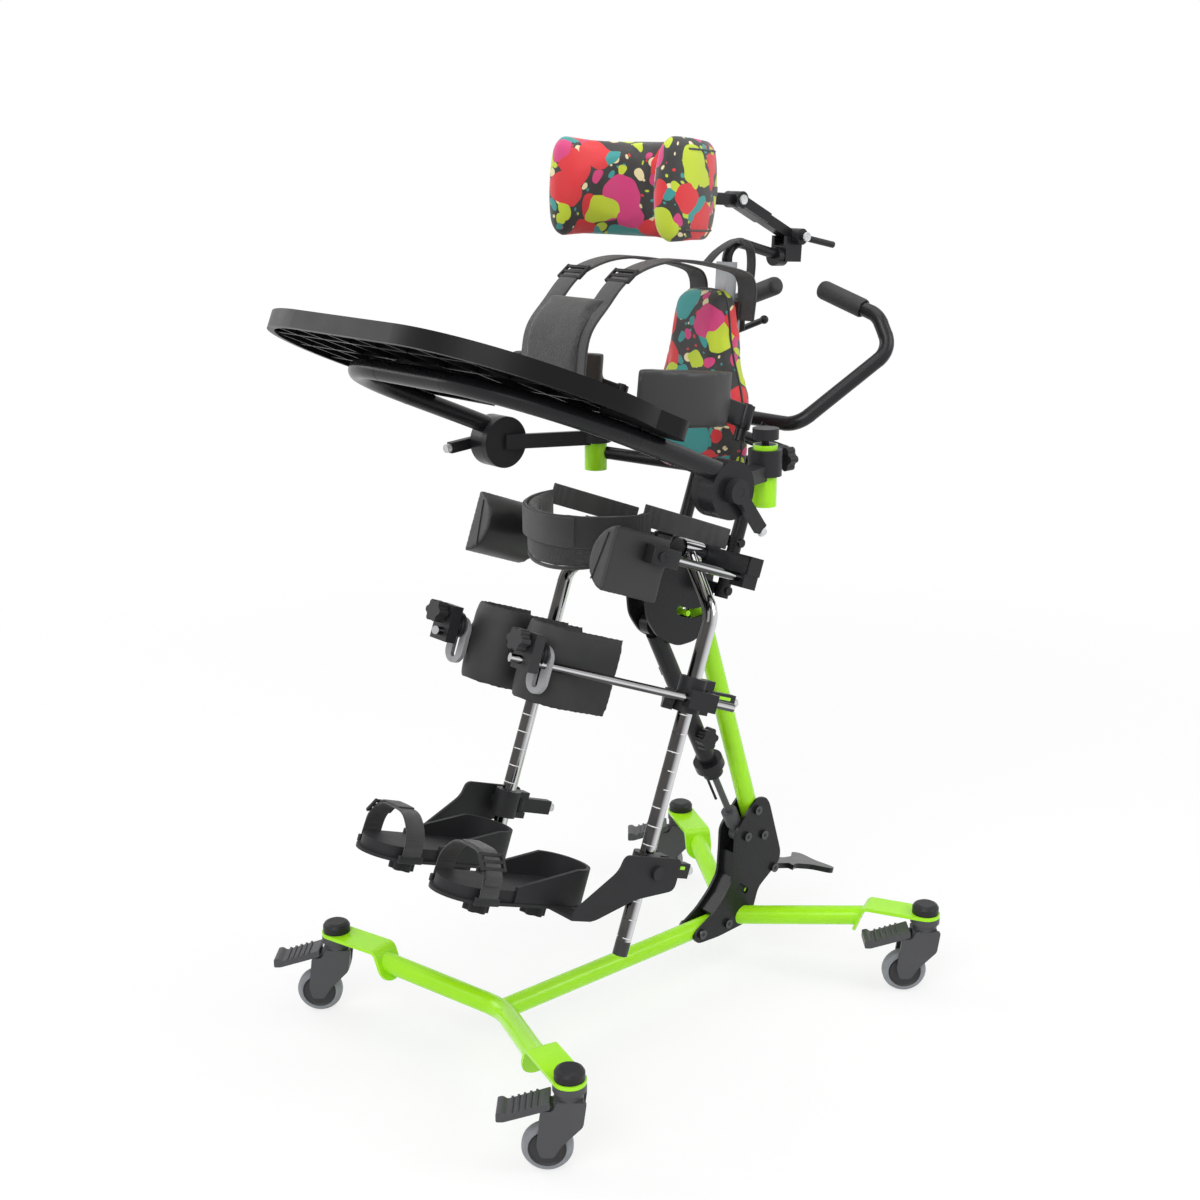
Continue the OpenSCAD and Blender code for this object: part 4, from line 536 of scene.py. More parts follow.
def leg_chrome(name, pitch, low, high):
    """Bright plate with painted reflection bands, broken pale height rings and a plastic cap
    below.
    """
    ring_width, bands, first_band = 0.0014, 2.0, 1.28
    made = Finish(name, (0.42, 0.42, 0.44), 0.1, 1.0)
    # Painted reflection: dark and bright bands round the tube, set by which way the surface
    # faces.
    way = made.add("ShaderNodeSeparateXYZ", Vector=made.facing)
    around = made.sum("ARCTAN2", way.outputs["Y"], way.outputs["X"])
    wave = made.sum("ADD", made.sum("MULTIPLY", around, bands), first_band)
    along = made.along(LEG_LINE)
    ring = made.sum("LESS_THAN", made.sum("FLOORED_MODULO", along, pitch), ring_width)
    ring = made.sum("MULTIPLY", ring, made.sum("LESS_THAN", along, high))
    cap = made.sum("LESS_THAN", along, low)
    broken = made.sum("MULTIPLY", ring, made.sum("GREATER_THAN", made.noise(55, 1.0), 0.43))
    # The dark tone of the painted reflection, and below it the bright one.
    shade = made.mix(made.noise(30), (0.04, 0.04, 0.042), (0.10, 0.095, 0.09))
    chrome_with_painted_reflection = made.streaks(wave, shade, (0.66, 0.66, 0.68))
    marked = made.mix(broken, chrome_with_painted_reflection, (0.72, 0.72, 0.72))
    made.to("Base Color", made.mix(cap, marked, (0.02, 0.02, 0.022)))
    made.to("Metallic", made.sum("SUBTRACT", 1.0, cap))
    worn = made.spread(made.noise(60), 0.04, 0.12)
    made.to("Roughness", made.sum("ADD", worn, made.sum(
        "MULTIPLY", made.sum("MAXIMUM", ring, cap), 0.35)))
    made.bump(made.sum("SUBTRACT", 1.0, ring), 0.5, 0.0006)
    return made.material


def rod_chrome(name):
    """Bright plate of the level rods, its painted reflection bands lying one above the other."""
    bands, first_band = 5.0, 0.9
    made = Finish(name, (0.5, 0.5, 0.52), 0.1, 1.0)
    # Painted reflection: dark and bright bands set by how far the surface faces up.
    way = made.add("ShaderNodeSeparateXYZ", Vector=made.facing)
    wave = made.sum("ADD", made.sum("MULTIPLY", way.outputs["Z"], bands), first_band)
    shade = made.mix(made.noise(30), (0.05, 0.05, 0.052), (0.12, 0.12, 0.12))
    made.to("Base Color", made.streaks(wave, shade, (0.74, 0.74, 0.76)))
    made.uneven(60, 0.06, 0.16)
    made.bump(made.noise(700, 2.0), 0.02, 0.0005)
    return made.material


def mount_moulding(name, tone, pale, first):
    """Black moulding whose oval rear plate is a paler grey."""
    made = Finish(name, tone, 0.4, gloss=0.3)
    rear = made.sum("GREATER_THAN", made.along(TILT_BACK), first)
    dark = made.mix(made.noise(30), *scaled(tone, 0.8, 1.2))
    light = made.mix(made.noise(30), *scaled(pale, 0.85, 1.1))
    made.to("Base Color", made.mix(rear, dark, light))
    made.uneven(38, 0.32, 0.5)
    made.bump(made.noise(1300, 2.0), 0.2, 0.0005)
    return made.material


def wheel_rubber(name, hub, axle, tread, tyre, dark):
    """Grey tread round a dark hub, told apart by the distance from the axle."""
    made = Finish(name, tyre, 0.5)
    out = made.vector("SUBTRACT", made.place, hub)
    aside = made.vector("CROSS_PRODUCT", out, axle)
    radius = made.add("ShaderNodeVectorMath", {"operation": "LENGTH"}, i0=aside)
    share = made.sum("GREATER_THAN", radius.outputs["Value"], tread)
    scuffed = made.mix(made.noise(90), *scaled(tyre, 0.8, 1.15))
    made.to("Base Color", made.mix(share, dark, scuffed))
    made.uneven(120, 0.42, 0.66)
    made.bump(made.noise(700), 0.12, 0.0006)
    return made.material


def webbing(name, tone, pitch=0.0016):
    """Woven tape: ribs crossed by a finer twill."""
    made = Finish(name, (tone, tone, tone * 1.05), 0.72, sheen=0.35)
    wave = 2 * math.pi / pitch
    weave = made.weave((wave, wave * 0.9, wave), (-wave, wave * 0.9, wave))
    worn = made.mix(made.noise(45), (tone * 0.6,) * 3, (tone * 2.1, tone * 2.1, tone * 2.2))
    made.to("Base Color", made.mix(made.spread(weave, 0.0, 1.0), (tone * 0.45,) * 3, worn))
    made.uneven(80, 0.62, 0.85)
    made.bump(weave, 0.6, 0.0005)
    return made.material


def spacer_mesh(name, tone):
    """Padded mesh fabric with small round cells."""
    made = Finish(name, (tone, tone, tone), 0.75, sheen=0.3)
    cells = made.add("ShaderNodeTexVoronoi", Vector=made.place, Scale=420.0)
    hole = made.spread(cells.outputs["Distance"], 0.0, 1.0)
    made.to("Base Color", made.mix(hole, (tone * 0.5,) * 3, (tone * 2.0,) * 3))
    made.uneven(60, 0.65, 0.88)
    made.bump(hole, 0.55, 0.0007)
    return made.material


def foam_skin(name, tone, roughness):
    """Moulded foam with a fine leather-like skin."""
    grey = (tone, tone, tone * 1.05)
    made = Finish(name, grey, roughness)
    made.mottle(grey, 20, 0.18)
    cells = made.add("ShaderNodeTexVoronoi", {"feature": "DISTANCE_TO_EDGE"},
                     Vector=made.place, Scale=620.0)
    made.uneven(42, roughness - 0.07, roughness + 0.1)
    made.bump(made.sum("MINIMUM", cells.outputs["Distance"], 0.25), 0.35, 0.0006)
    return made.material


def print_cloth(name, colours):
    """Bright rounded blots on a black cloth with a scatter of dots."""
    bend, thread = 0.028, 0.0011
    made = Finish(name, (0.01, 0.01, 0.01), 0.7, sheen=0.25)
    drift = made.add("ShaderNodeTexNoise", Vector=made.place, Scale=26.0, Detail=1.0)
    pushed = made.add("ShaderNodeVectorMath", {"operation": "SCALE"},
                      i0=drift.outputs["Color"], Scale=bend)
    bent = made.vector("ADD", made.place, pushed.outputs[0])

    def blots(below, scale, reach, palette):
        """Blots of a few colours over what lies below."""
        cells = made.add("ShaderNodeTexVoronoi", Vector=bent, Scale=scale)
        pick = made.add("ShaderNodeSeparateColor", Color=cells.outputs["Color"])
        ramp = made.add("ShaderNodeValToRGB", Fac=pick.outputs[0])
        stops = ramp.color_ramp
        stops.interpolation = "CONSTANT"
        while len(stops.elements) < len(palette):
            stops.elements.new(0.5)
        for index, tone in enumerate(palette):
            stops.elements[index].position = index / len(palette)
            stops.elements[index].color = (*tone, 1)
        inside = made.sum("LESS_THAN", cells.outputs["Distance"], reach)
        return made.mix(inside, below, ramp.outputs["Color"])

    red, lime, teal, pink, cream = colours
    tone = blots((0.008, 0.008, 0.009), 96.0, 0.21, [cream, red, teal, lime])
    tone = blots(tone, 47.0, 0.36, [lime, pink, cream, teal])
    tone = blots(tone, 24.5, 0.57, [red, lime, teal, pink, red, lime])
    faded = made.mix(made.spread(made.noise(30), 0.0, 0.14), tone, (0.3, 0.28, 0.26))
    made.to("Base Color", faded)
    wave = 2 * math.pi / thread
    made.uneven(70, 0.6, 0.82)
    made.bump(made.weave((wave, wave * 0.3, 0.0), (0.0, wave * 0.3, wave)), 0.3, 0.0004)
    return made.material


def brushed(name, tone, roughness):
    """Anodised metal with a fine grain along its length."""
    made = Finish(name, tone, roughness, 1.0)
    long_way = made.add("ShaderNodeMapping", Vector=made.place, Scale=(900.0, 900.0, 14.0))
    grain = made.noise(1.0, 3.0, long_way.outputs["Vector"])
    made.to("Base Color", made.mix(grain, *scaled(tone, 0.82, 1.15)))
    made.to("Roughness", made.spread(grain, roughness - 0.08, roughness + 0.12))
    made.bump(grain, 0.05, 0.0003)
    return made.material


FINISHES = {}
LEG_CAP_TOP = 0.146
LEG_RINGS_TOP = 0.50
MOUNT_PLATE = TILT @ Vector((0, -0.2968, 0))


def tint(name):
    """A colour from the panel."""
    return list(getattr(bpy.context.scene.stand_colours, name))


def make_finishes():
    """Makes each finish once."""
    if FINISHES:
        return FINISHES
    green, black = tint("frame_green"), tint("moulded_black")
    prints = [tint("print_" + shade) for shade in ("red", "lime", "teal", "pink", "cream")]
    pitch = bpy.context.scene.stand_sizes.ring_pitch
    FINISHES.update(
        green=paint("green_gloss_coat", green, 0.24, 320, 0.05, coat=0.22, gloss=0.28),
        coat=paint("black_satin_coat", tint("coat_black"), 0.26, 900, 0.10, gloss=0.24),
        moulded=paint("moulded_black", black, 0.40, 1300, 0.20, share=0.15, gloss=0.20),
        footbed=paint("footbed_black", black, 0.52, 800, 0.32, share=0.2, gloss=0.20),
        # Painted shade: the tray takes a darker copy of the moulded black for the shade under
        # it.
        tray=paint("tray_black", scaled(black, 0.3), 0.34, 1100, 0.18, share=0.12, gloss=0.12),
        # Painted light: forks, brakes and gas rod take a lighter copy of the moulded black.
        caster=paint("caster_black", scaled(black, 3.0), 0.42, 1300, 0.20, share=0.15,
                     gloss=0.35),
        steel=paint("zinc_steel", (0.10, 0.10, 0.105), 0.30, 600, 0.06, metallic=1.0),
        plate=rod_chrome("bright_plate"),
        button=paint("button_grey", tint("button_grey"), 0.35, 900, 0.10),
        lime=paint("lever_lime", green, 0.35, 900, 0.08),
        rings=leg_chrome("leg_chrome", pitch, LEG_CAP_TOP, LEG_RINGS_TOP),
        post=brushed("post_aluminium", tint("post_grey"), 0.36),
        tape=webbing("black_webbing", 0.022),
        mesh=spacer_mesh("black_spacer_mesh", 0.020),
        foam=foam_skin("moulded_foam", 0.017, 0.40),
        soft=foam_skin("soft_foam", 0.014, 0.58),
        mount=mount_moulding("knee_mount_moulding", black, (0.30, 0.30, 0.31),
                             MOUNT_PLATE.dot(TILT_BACK)),
        prints=print_cloth("print_cloth", prints),
    )
    return FINISHES


def bare(finish, *stems):
    """Puts a finish on solids that stay as they are."""
    for stem in stems:
        for name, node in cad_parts.items():
            if name == stem or name.startswith(stem + "_"):
                node.data.materials.clear()
                node.data.materials.append(finish)


# ---------------------------------------------------------------- operators


# Each lamp: its place and aim in metres, its width in metres and its power in watts.
LAMPS = (
    ((1.4, -2.6, 2.9), (0, 0, 0.6), 2.2, 62),
    ((-2.6, -1.4, 2.2), (0, 0, 0.7), 2.0, 34),
    ((2.4, 1.6, 2.4), (0, 0, 0.6), 1.6, 30),
    ((0.2, 0.1, 3.4), (0, 0, 0), 2.4, 36),
)


class STAND_OT_stage(Operator):
    """Set the camera, the pale floor and soft studio light"""
    bl_idname = "stand.stage"
    bl_label = "Studio"

    def light(self, scene, daylight):
        """Soft lamps, and an even sky that looks white."""
        for place, aim, width, power in LAMPS:
            bpy.ops.object.light_add(type="AREA", location=place)
            lamp = bpy.context.object
            lamp.data.size = width
            lamp.data.energy = power
            way = Vector(aim) - Vector(place)
            lamp.rotation_euler = way.to_track_quat("-Z", "Y").to_euler()
        scene.world = scene.world or bpy.data.worlds.new("studio")
        scene.world.use_nodes = True
        sky = Wiring(scene.world.node_tree)
        sky.tree.nodes.clear()
        path = sky.add("ShaderNodeLightPath").outputs
        seen = sky.sum("MAXIMUM", path["Is Camera Ray"], path["Is Glossy Ray"])
        seen = sky.sum("MAXIMUM", seen, path["Is Transmission Ray"])
        even = sky.add("ShaderNodeBackground", Color=WHITE, Strength=daylight)
        white = sky.add("ShaderNodeBackground", Color=WHITE, Strength=1.0)
        both = sky.add("ShaderNodeMixShader", i0=seen, i1=even.outputs[0], i2=white.outputs[0])
        sky.add("ShaderNodeOutputWorld", Surface=both.outputs[0])

    def lay_floor(self, tone):
        """A pale floor that keeps soft shadows near the part and fades to white."""
        bpy.ops.object.select_all(action="DESELECT")
        bpy.ops.mesh.primitive_plane_add(size=90)
        floor = name_it(bpy.context.object, "studio_floor")
        coat = Finish("studio_floor", tone, 0.9)
        coat.mottle(list(tone), 3, 0.01)
        glow = coat.add("ShaderNodeEmission", Color=WHITE, Strength=1.0)
        path = coat.add("ShaderNodeLightPath").outputs
        far = coat.add("ShaderNodeVectorMath", {"operation": "LENGTH"}, i0=coat.place)
        fade = coat.add("ShaderNodeMapRange", None, Value=far.outputs["Value"], **{
            "From Min": 0.7, "From Max": 2.6, "To Min": 0.74, "To Max": 1.0}).outputs["Result"]
        seen = coat.sum("MAXIMUM", path["Is Camera Ray"], path["Is Glossy Ray"])
        both = coat.add("ShaderNodeMixShader", i0=coat.sum("MULTIPLY", seen, fade),
                        i1=coat.shader.outputs[0], i2=glow.outputs[0])
        surface = coat.tree.nodes["Material Output"].inputs["Surface"]
        coat.tree.links.new(both.outputs[0], surface)
        floor.data.materials.append(coat.material)

    def execute(self, context):
        scene = context.scene
        stage = scene.stand_stage
        scene.view_settings.view_transform = "Standard"
        bpy.ops.object.select_all(action="DESELECT")
        bpy.ops.object.camera_add(location=stage.camera_place, rotation=stage.camera_turn)
        camera = context.object
        camera.data.sensor_width = 36
        camera.data.lens = stage.lens
        camera.data.dof.use_dof = False
        scene.camera = camera
        self.light(scene, stage.daylight)
        self.lay_floor(stage.floor_tone)
        return {"FINISHED"}


class Step:
    """Runs one dressing step with the finishes and the sizes."""

    def execute(self, context):
        self.build(make_finishes(), context.scene.stand_sizes)
        return {"FINISHED"}


class STAND_OT_frame_finishes(Step, Operator):
    """Coat the base, mast, back frame, legs, clamps and casters"""
    bl_idname = "stand.frame_finishes"
    bl_label = "Frame finishes"

    def build(self, kit, sizes):
        axle = (0.743, -0.669, 0.0)
        tread = 0.0235
        bare(kit["green"], "base_frame", "mast", "arm_sockets")
        bare(kit["coat"], "side_plates", "foot_pedal", "gas_cylinder", "hip_bracket",
             "back_frame", "hand_lever", "tray_frame", "head_arm", "head_link")
        bare(kit["caster"], "fork", "brake", "gas_rod")
        bare(kit["moulded"], "caster_caps", "tray_mounts", "hub_lever",
             "head_lever", "knee_clamp", "knee_lever", "foot_clamp", "foot_lever")
        bare(kit["mount"], "knee_mount")
        bare(kit["footbed"], "foot_plate")
        bare(kit["tray"], "tray_top")
        bare(kit["steel"], "pins_and_bolts")
        bare(kit["plate"], "knee_rod")
        bare(kit["rings"], "leg_tube")
        bare(kit["post"], "back_post")
        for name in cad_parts:
            if name.startswith("wheel_"):
                low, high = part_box(name)
                hub = [(a + b) / 2 for a, b in zip(low, high)]
                bare(wheel_rubber("tread_" + name, hub, axle, tread, tint("tyre_grey"),
                                  tint("moulded_black")), name)


PIPING_BACK = -37
PIPING_LEVEL = 100


class STAND_OT_back_cushion(Step, Operator):
    """Fill the tapered back cushion and sew its piping"""
    bl_idname = "stand.back_cushion"
    bl_label = "Back cushion"

    def build(self, kit, sizes):
        rim = PIPING_BACK - 1
        pad = skin(from_solid("back_pad", "back_cushion"), 5, 5, 3.0)
        swell(pad, sizes.cushion_swell)
        ways = [Vector((x, 0, z)) for x, z in compass(0, 360, 5)]
        edge = hugging(pad, POST, ways, Vector((0, rim, PIPING_LEVEL)) * MM, BACKWARD,
                       rim * MM, 10 * MM)
        edge = [(x, PIPING_BACK, z) for x, y, z in edge]
        bead = cord_line("back_piping", edge, sizes.piping / MM, POST, closed=True)
        finish_with(bead, "SMOOTH", factor=0.4, iterations=3)
        dress(pad, kit["prints"], "post")
        stands_for("back_pad")
        dress(bead, kit["tape"], "post")


HEAD_AHEAD = -195
HEAD_LEVEL = 350
HEAD_ROLL = 97
HEAD_BAND = 119
HEAD_BACK = -76.5
HEAD_PIN = shift(0, 9.5, 342)
SEAM_RISE = 48


class STAND_OT_head_support(Step, Operator):
    """Fill the wrap-round head pad and build its stem, band and seams"""
    bl_idname = "stand.head_support"
    bl_label = "Head support"

    def egg(self, pad):
        """Thins the roll towards its upper and lower edge, like an egg."""
        half, thinning, lip = 65 * MM, 0.62, 12 * MM
        inverse = POST.inverted()
        roll = Vector((HEAD_ROLL, HEAD_AHEAD, HEAD_LEVEL)) * MM
        for vertex in pad.data.vertices:
            point = inverse @ vertex.co
            level = (point.z - roll.z) / half
            share = math.sqrt(max(0.0, 1 - thinning * level * level))
            out = Vector((point.x, max(0.0, point.y - roll.y), 0))
            if out.length > 0:
                out *= (roll.x + (out.length - roll.x) * share) / out.length
            ahead = min(0.0, point.y - roll.y + lip)
            lead = min(0.0, point.y - roll.y) - ahead + ahead * share
            vertex.co = POST @ Vector((out.x, roll.y + out.y + lead, point.z))

    def build(self, kit, sizes):
        pad = from_solid("head_pad", "head_cushion")
        cut_away(pad, POST @ (Vector((0, HEAD_BACK, HEAD_LEVEL)) * MM),
                 POST.to_3x3() @ BACKWARD)
        skin(pad, 4.5, 6, 1.0)
        self.egg(pad)
        swell(pad, sizes.cushion_swell * 0.6)
        stem = joined("head_stem", [
            block("head_stem", (16, 110, 16), POST @ shift(0, -44, 342), 2),
            stud("head_barrel", 11, 17, POST @ HEAD_PIN @ turn(90, "Y"), 1.2),
            block("head_plate", (46, 5, 60), POST @ shift(0, -78, HEAD_LEVEL), 2)])
        arc = [(HEAD_BAND * x, HEAD_BAND * y) for x, y in compass(-2, 183, 4)]
        strap = band("head_band", arc, 12, 2.0, POST @ shift(0, HEAD_AHEAD, HEAD_LEVEL))
        ways = [Vector((x, y, 0)) for x, y in compass(0, 181, 5)]
        seams = []
        for level in (HEAD_LEVEL - SEAM_RISE, HEAD_LEVEL + SEAM_RISE):
            ring = hugging(pad, POST, ways, Vector((0, HEAD_AHEAD, level)) * MM, UPWARD,
                           level * MM, 4 * MM)
            seams.append(cord_line("head_seam", [(x, y, level) for x, y, z in ring], 1.4, POST))
        seam = joined("head_seams", seams)
        finish_with(seam, "SMOOTH", factor=0.4, iterations=2)
        dress(pad, kit["prints"], "head_pad")
        stands_for("head_pad")
        dress(stem, kit["coat"], "head_pad")
        dress(strap, kit["tape"], "head_pad")
        dress(seam, kit["tape"], "head_pad")


HARNESS = [(-7.2, 185), (-7.2, 234), (-39, 252), (-150, 263), (-225, 244),
           (-267, 205), (-294, 169), (-300, 112)]
YOKE = [(-58, 257), (-34, 276), (2, 290), (25, 276), (28, 240), (15.5, 200), (14.5, 170)]
STRAP_SIDES = (-46, 46)
STRAP_WIDTH = 34
PANEL_FROM = -258


def ladder_buckle(name, width, place):
    """A three-bar slide buckle lying in the local x-y plane, its width along y."""
    pitch, rail_gap = 9.4, 3
    rails = [block(name, (24, 4, 4.6), place @ shift(0, side * (width / 2 + rail_gap), 0), 1.2)
             for side in (-1, 1)]
    bars = [block(name, (4.6, width + 8, 3.4), place @ shift(along, 0, 0), 1.2)
            for along in (-pitch, 0, pitch)]
    return joined(name, rails + bars)


class STAND_OT_harness(Step, Operator):
    """Lay the shoulder straps, the chest panel and its buckles"""
    bl_idname = "stand.harness"
    bl_label = "Harness"

    def build(self, kit, sizes):
        run = flowing(HARNESS)
        tape = sizes.webbing / MM
        straps = [band("shoulder_strap", run, STRAP_WIDTH, tape + 1.4,
                       POST @ shift(x, 0, 0) @ ACROSS) for x in STRAP_SIDES]
        front = [point for point in run if point[0] < PANEL_FROM]
        panel = band("chest_panel", front, 104, 13, POST @ ACROSS)
        skin(panel, 4, 3, 1.5)
        swell(panel, sizes.cushion_swell * 0.5)
        slides = [ladder_buckle("strap_slide", STRAP_WIDTH, POST @ shift(x, -230.5, 243.5)
                                @ turn(40, "X") @ turn(90, "Z")) for x in STRAP_SIDES]
        straps.append(
            band("yoke_strap", flowing(YOKE), 16, tape, POST @ shift(18, 0, 0) @ ACROSS))
        straps = joined("shoulder_straps", straps)
        slides = joined("strap_slides", slides)
        dress(straps, kit["tape"], "post")
        dress(panel, kit["mesh"], "post")
        dress(slides, kit["moulded"], "post")
        stands_for("harness")


BELT_RADIUS = 90.5
BELT_STRAP_LEVEL = 14
BELT_EDGE = -36.5
TAIL_LEVEL = 47.3


class STAND_OT_hip_belt(Step, Operator):
    """Form the padded hip belt with its outer strap, flap and tails"""
    bl_idname = "stand.hip_belt"
    bl_label = "Hip belt"

    def arc(self, radius, first=180, last=360):
        """Points of the belt's front half."""
        return [(radius * x, radius * y) for x, y in compass(first, last + 1, 5)]

    def low_edge(self, x):
        """The lower edge rises towards the belt's ends."""
        side_share, half = 0.42, 92.0
        return side_share + (1 - side_share) * max(0.0, 1 - (x / half) ** 2) ** 0.5

    def tail(self, x, lean):
        """A soft band that bows outwards on its way to the back frame."""
        return band("hip_belt_tail", flowing([
            (x, -196), (x + lean * 2.5, -160), (x + lean * 3, -110), (x + lean, -60), (x, -34)]),
            28, 3, TILT @ shift(0, 0, TAIL_LEVEL))

    def build(self, kit, sizes):
        pad = band("hip_belt_pad", self.arc(BELT_RADIUS), 74, 9, Matrix.Identity(4))
        for vertex in pad.data.vertices:
            if vertex.co.z < 0:
                vertex.co.z *= self.low_edge(vertex.co.x / MM)
        settle(pad, BELT)
        skin(pad, 4, 2, 1.0)
        swell(pad, sizes.cushion_swell * 0.5)
        level = BELT @ shift(0, 0, BELT_STRAP_LEVEL)
        outer = joined("hip_belt_strap", [
            band("hip_belt_strap", self.arc(97.4), 42, 3.2, level),
            band("hip_belt_flap", self.arc(100.4, 205, 300), 38, 2.6, level)])
        rim = [(x, y, BELT_EDGE * self.low_edge(x)) for x, y in self.arc(93.0)]
        edging = cord_line("hip_belt_piping", rim, 2.6, BELT)
        tails = joined("hip_belt_tails",
                       [self.tail(-BELT_RADIUS, -1), self.tail(BELT_RADIUS, 1)])
        dress(pad, kit["mesh"], "tilt")
        stands_for("hip_belt")
        for piece in (outer, edging, tails):
            dress(piece, kit["tape"], "tilt")


class STAND_OT_knee_cuffs(Step, Operator):
    """Form the moulded knee cuffs"""
    bl_idname = "stand.knee_cuffs"
    bl_label = "Knee cuffs"

    def build(self, kit, sizes):
        for side in hand_of("knee_pad"):
            node = "knee_pad_" + side
            cuff = eased(skin(from_solid(node, "knee_cuff_" + side), 3.2, 5, 0.6))
            dress(cuff, kit["soft"], "knee_support_" + side)
            stands_for(node)


HIP_PAD_FACE = 139.5
HIP_ROD_LEVEL = 2


class STAND_OT_hip_pads(Step, Operator):
    """Form the hip side pads with their rods and brackets"""
    bl_idname = "stand.hip_pads"
    bl_label = "Hip side pads"

    def build(self, kit, sizes):
        sides = hand_of("hip_pad")
        first = sides[0]
        pad = from_solid("hip_pad_" + first, "hip_cushion_" + first)
        cut_away(pad, TILT @ (SIDEWAYS * HIP_PAD_FACE * MM), TILT.to_3x3() @ SIDEWAYS)
        eased(skin(pad, 2.6, 2, 0.4))
        slit = block("hip_slit_" + first, (2.0, 1.6, 62),
                     TILT @ shift(121, -280.2, -16) @ turn(9, "Y"), 0.6)
        rod = stud("hip_rod_" + first, 6, 158,
                   TILT @ shift(150, -121, HIP_ROD_LEVEL) @ turn(90, "X"), 1.2)
        hold = block("hip_hold_" + first, (17, 48, 24),
                     TILT @ shift(147.5, -200, HIP_ROD_LEVEL), 2.5)
        screw = stud("hip_screw", 6, 4,
                     TILT @ shift(157.6, -210, HIP_ROD_LEVEL) @ turn(90, "Y"), 0.8, 1.2)
        hold = joined("hip_hold_" + first, [hold, screw])
        dress_pair((
            (pad, "hip_cushion_", "foam", "soft_rubber"),
            (slit, "hip_slit_", "tape", "soft_rubber"),
            (rod, "hip_rod_", "plate", "chrome"),
            (hold, "hip_hold_", "moulded", "black_plastic"),
        ), kit, sides, "hip_pad_", "hip_cushion_")


CHEST_PAD_BACK = -128
CHEST_HINGE_SIDE = 122
CHEST_HINGE_LEVEL = 204.3


class STAND_OT_chest_pads(Step, Operator):
    """Form the chest side pads with their hinges"""
    bl_idname = "stand.chest_pads"
    bl_label = "Chest side pads"

    def build(self, kit, sizes):
        sides = hand_of("chest_pad")
        first = sides[0]
        pad = from_solid("chest_pad_" + first, "chest_cushion_" + first)
        cut_away(pad, TILT @ (Vector((0, CHEST_PAD_BACK, 199)) * MM), TILT_BACK)
        eased(skin(pad, 3.6, 5, 1.0))
        link = block("chest_hinge", (10, 76, 30),
                     TILT @ shift(CHEST_HINGE_SIDE, -131, CHEST_HINGE_LEVEL), 2)
        barrel = stud("chest_barrel", 10, 32,
                      TILT @ shift(CHEST_HINGE_SIDE, -96, CHEST_HINGE_LEVEL), 1.2, 1.5)
        hinge = joined("chest_hinge_" + first, [link, barrel])
        dress_pair((
            (pad, "chest_cushion_", "foam", "soft_rubber"),
            (hinge, "chest_hinge_", "coat", "black_metal"),
        ), kit, sides, "chest_pad_", "chest_cushion_")


class STAND_OT_grips(Step, Operator):
    """Form the foam push grips"""
    bl_idname = "stand.grips"
    bl_label = "Push grips"

    def build(self, kit, sizes):
        grip = eased(skin(from_solid("grips", "foam_grips"), 2.2, 6))
        dress(grip, kit["soft"], "tilt")
        stands_for("grips")


class STAND_OT_toe_straps(Step, Operator):
    """Arch the toe straps over the sandals with their buckles"""
    bl_idname = "stand.toe_straps"
    bl_label = "Toe straps"

    def build(self, kit, sizes):
        tape = sizes.webbing / MM
        wide = sizes.toe_strap / MM
        rise = sizes.toe_rise / MM
        cheek, shoulder = rise * 0.62, rise * 0.95
        sides = hand_of("foot_plate")
        first = sides[0]
        foot = TILT @ shift(81, -318, -460) @ OVER
        arch = flowing([(-46.5, 2), (-47, 14), (-43, cheek), (-25, shoulder), (0, rise),
                        (25, shoulder), (43, cheek), (47, 14), (46.5, 2)])
        tail = flowing([(-12, rise + tape), (10, rise + tape), (27, shoulder + tape),
                        (45.6, cheek + 1.2), (48.8, rise * 0.4)])
        strap = joined("toe_strap_" + first, [
            band("toe_strap", arch, wide, tape, foot),
            band("toe_tail", tail, wide - 4, tape, foot)])
        slide = ladder_buckle("toe_buckle_" + first, wide,
                              foot @ shift(37, rise * 0.80 + tape, 0) @ turn(-52, "Z")
                              @ turn(90, "X"))
        anchors = [block("toe_anchor", (6, 10, wide + 8), foot @ shift(x, 3, 0), 1.5)
                   for x in (-46, 46)]
        slide = joined("toe_buckle_" + first, [slide] + anchors)
        dress_pair((
            (strap, "toe_strap_", "tape", "black_fabric"),
            (slide, "toe_buckle_", "moulded", "black_plastic"),
        ), kit, sides, "foot_plate_")


LEVER_LEVELS = (("knee", -161), ("foot", -393))
HUB_SIDE = 246.2
HUB_LEVER = -69.4
HUB_LEANS = (148, 25)


class STAND_OT_lever_buttons(Step, Operator):
    """Fit the pale push buttons and lime stripes of the clamp levers"""
    bl_idname = "stand.lever_buttons"
    bl_label = "Lever buttons"

    def button(self, name, place):
        """A push button at the end of a lever."""
        return stud(name, 6, 8.4, place, 1.2, 1.0)

    def build(self, kit, sizes):
        sides = hand_of("knee_lever")
        first = sides[0]
        for stem, level in LEVER_LEVELS:
            button = self.button(stem + "_button_" + first,
                                 TILT @ shift(145, 1.2, level) @ turn(-90, "X"))
            stripe = block(stem + "_stripe_" + first, (1.4, 36, 4.4),
                           TILT @ shift(151.2, -31, level + 4), 0.6)
            dress_pair((
                (button, stem + "_button_", "button", "black_plastic"),
                (stripe, stem + "_stripe_", "lime", "frame_green"),
            ), kit, sides, stem + "_lever_")
        for side, sign, lean in zip(sides, (1, -1), HUB_LEANS):
            hub = TILT @ shift(sign * HUB_SIDE, -205, 100) @ turn(lean, "X")
            button = self.button("hub_button_" + side,
                                 hub @ shift(0, HUB_LEVER, 0) @ turn(90, "X"))
            dress(button, kit["button"], "hub_lever_" + side)
        for body, place in (("head_lever", shift(32.3, 121, 296)),
                            ("head_link", shift(15.6, 0, 0) @ HEAD_PIN)):
            button = stud(body + "_button", 6.4, 4, POST @ place @ turn(90, "Y"), 1.0, 0.8)
            dress(button, kit["button"], body)


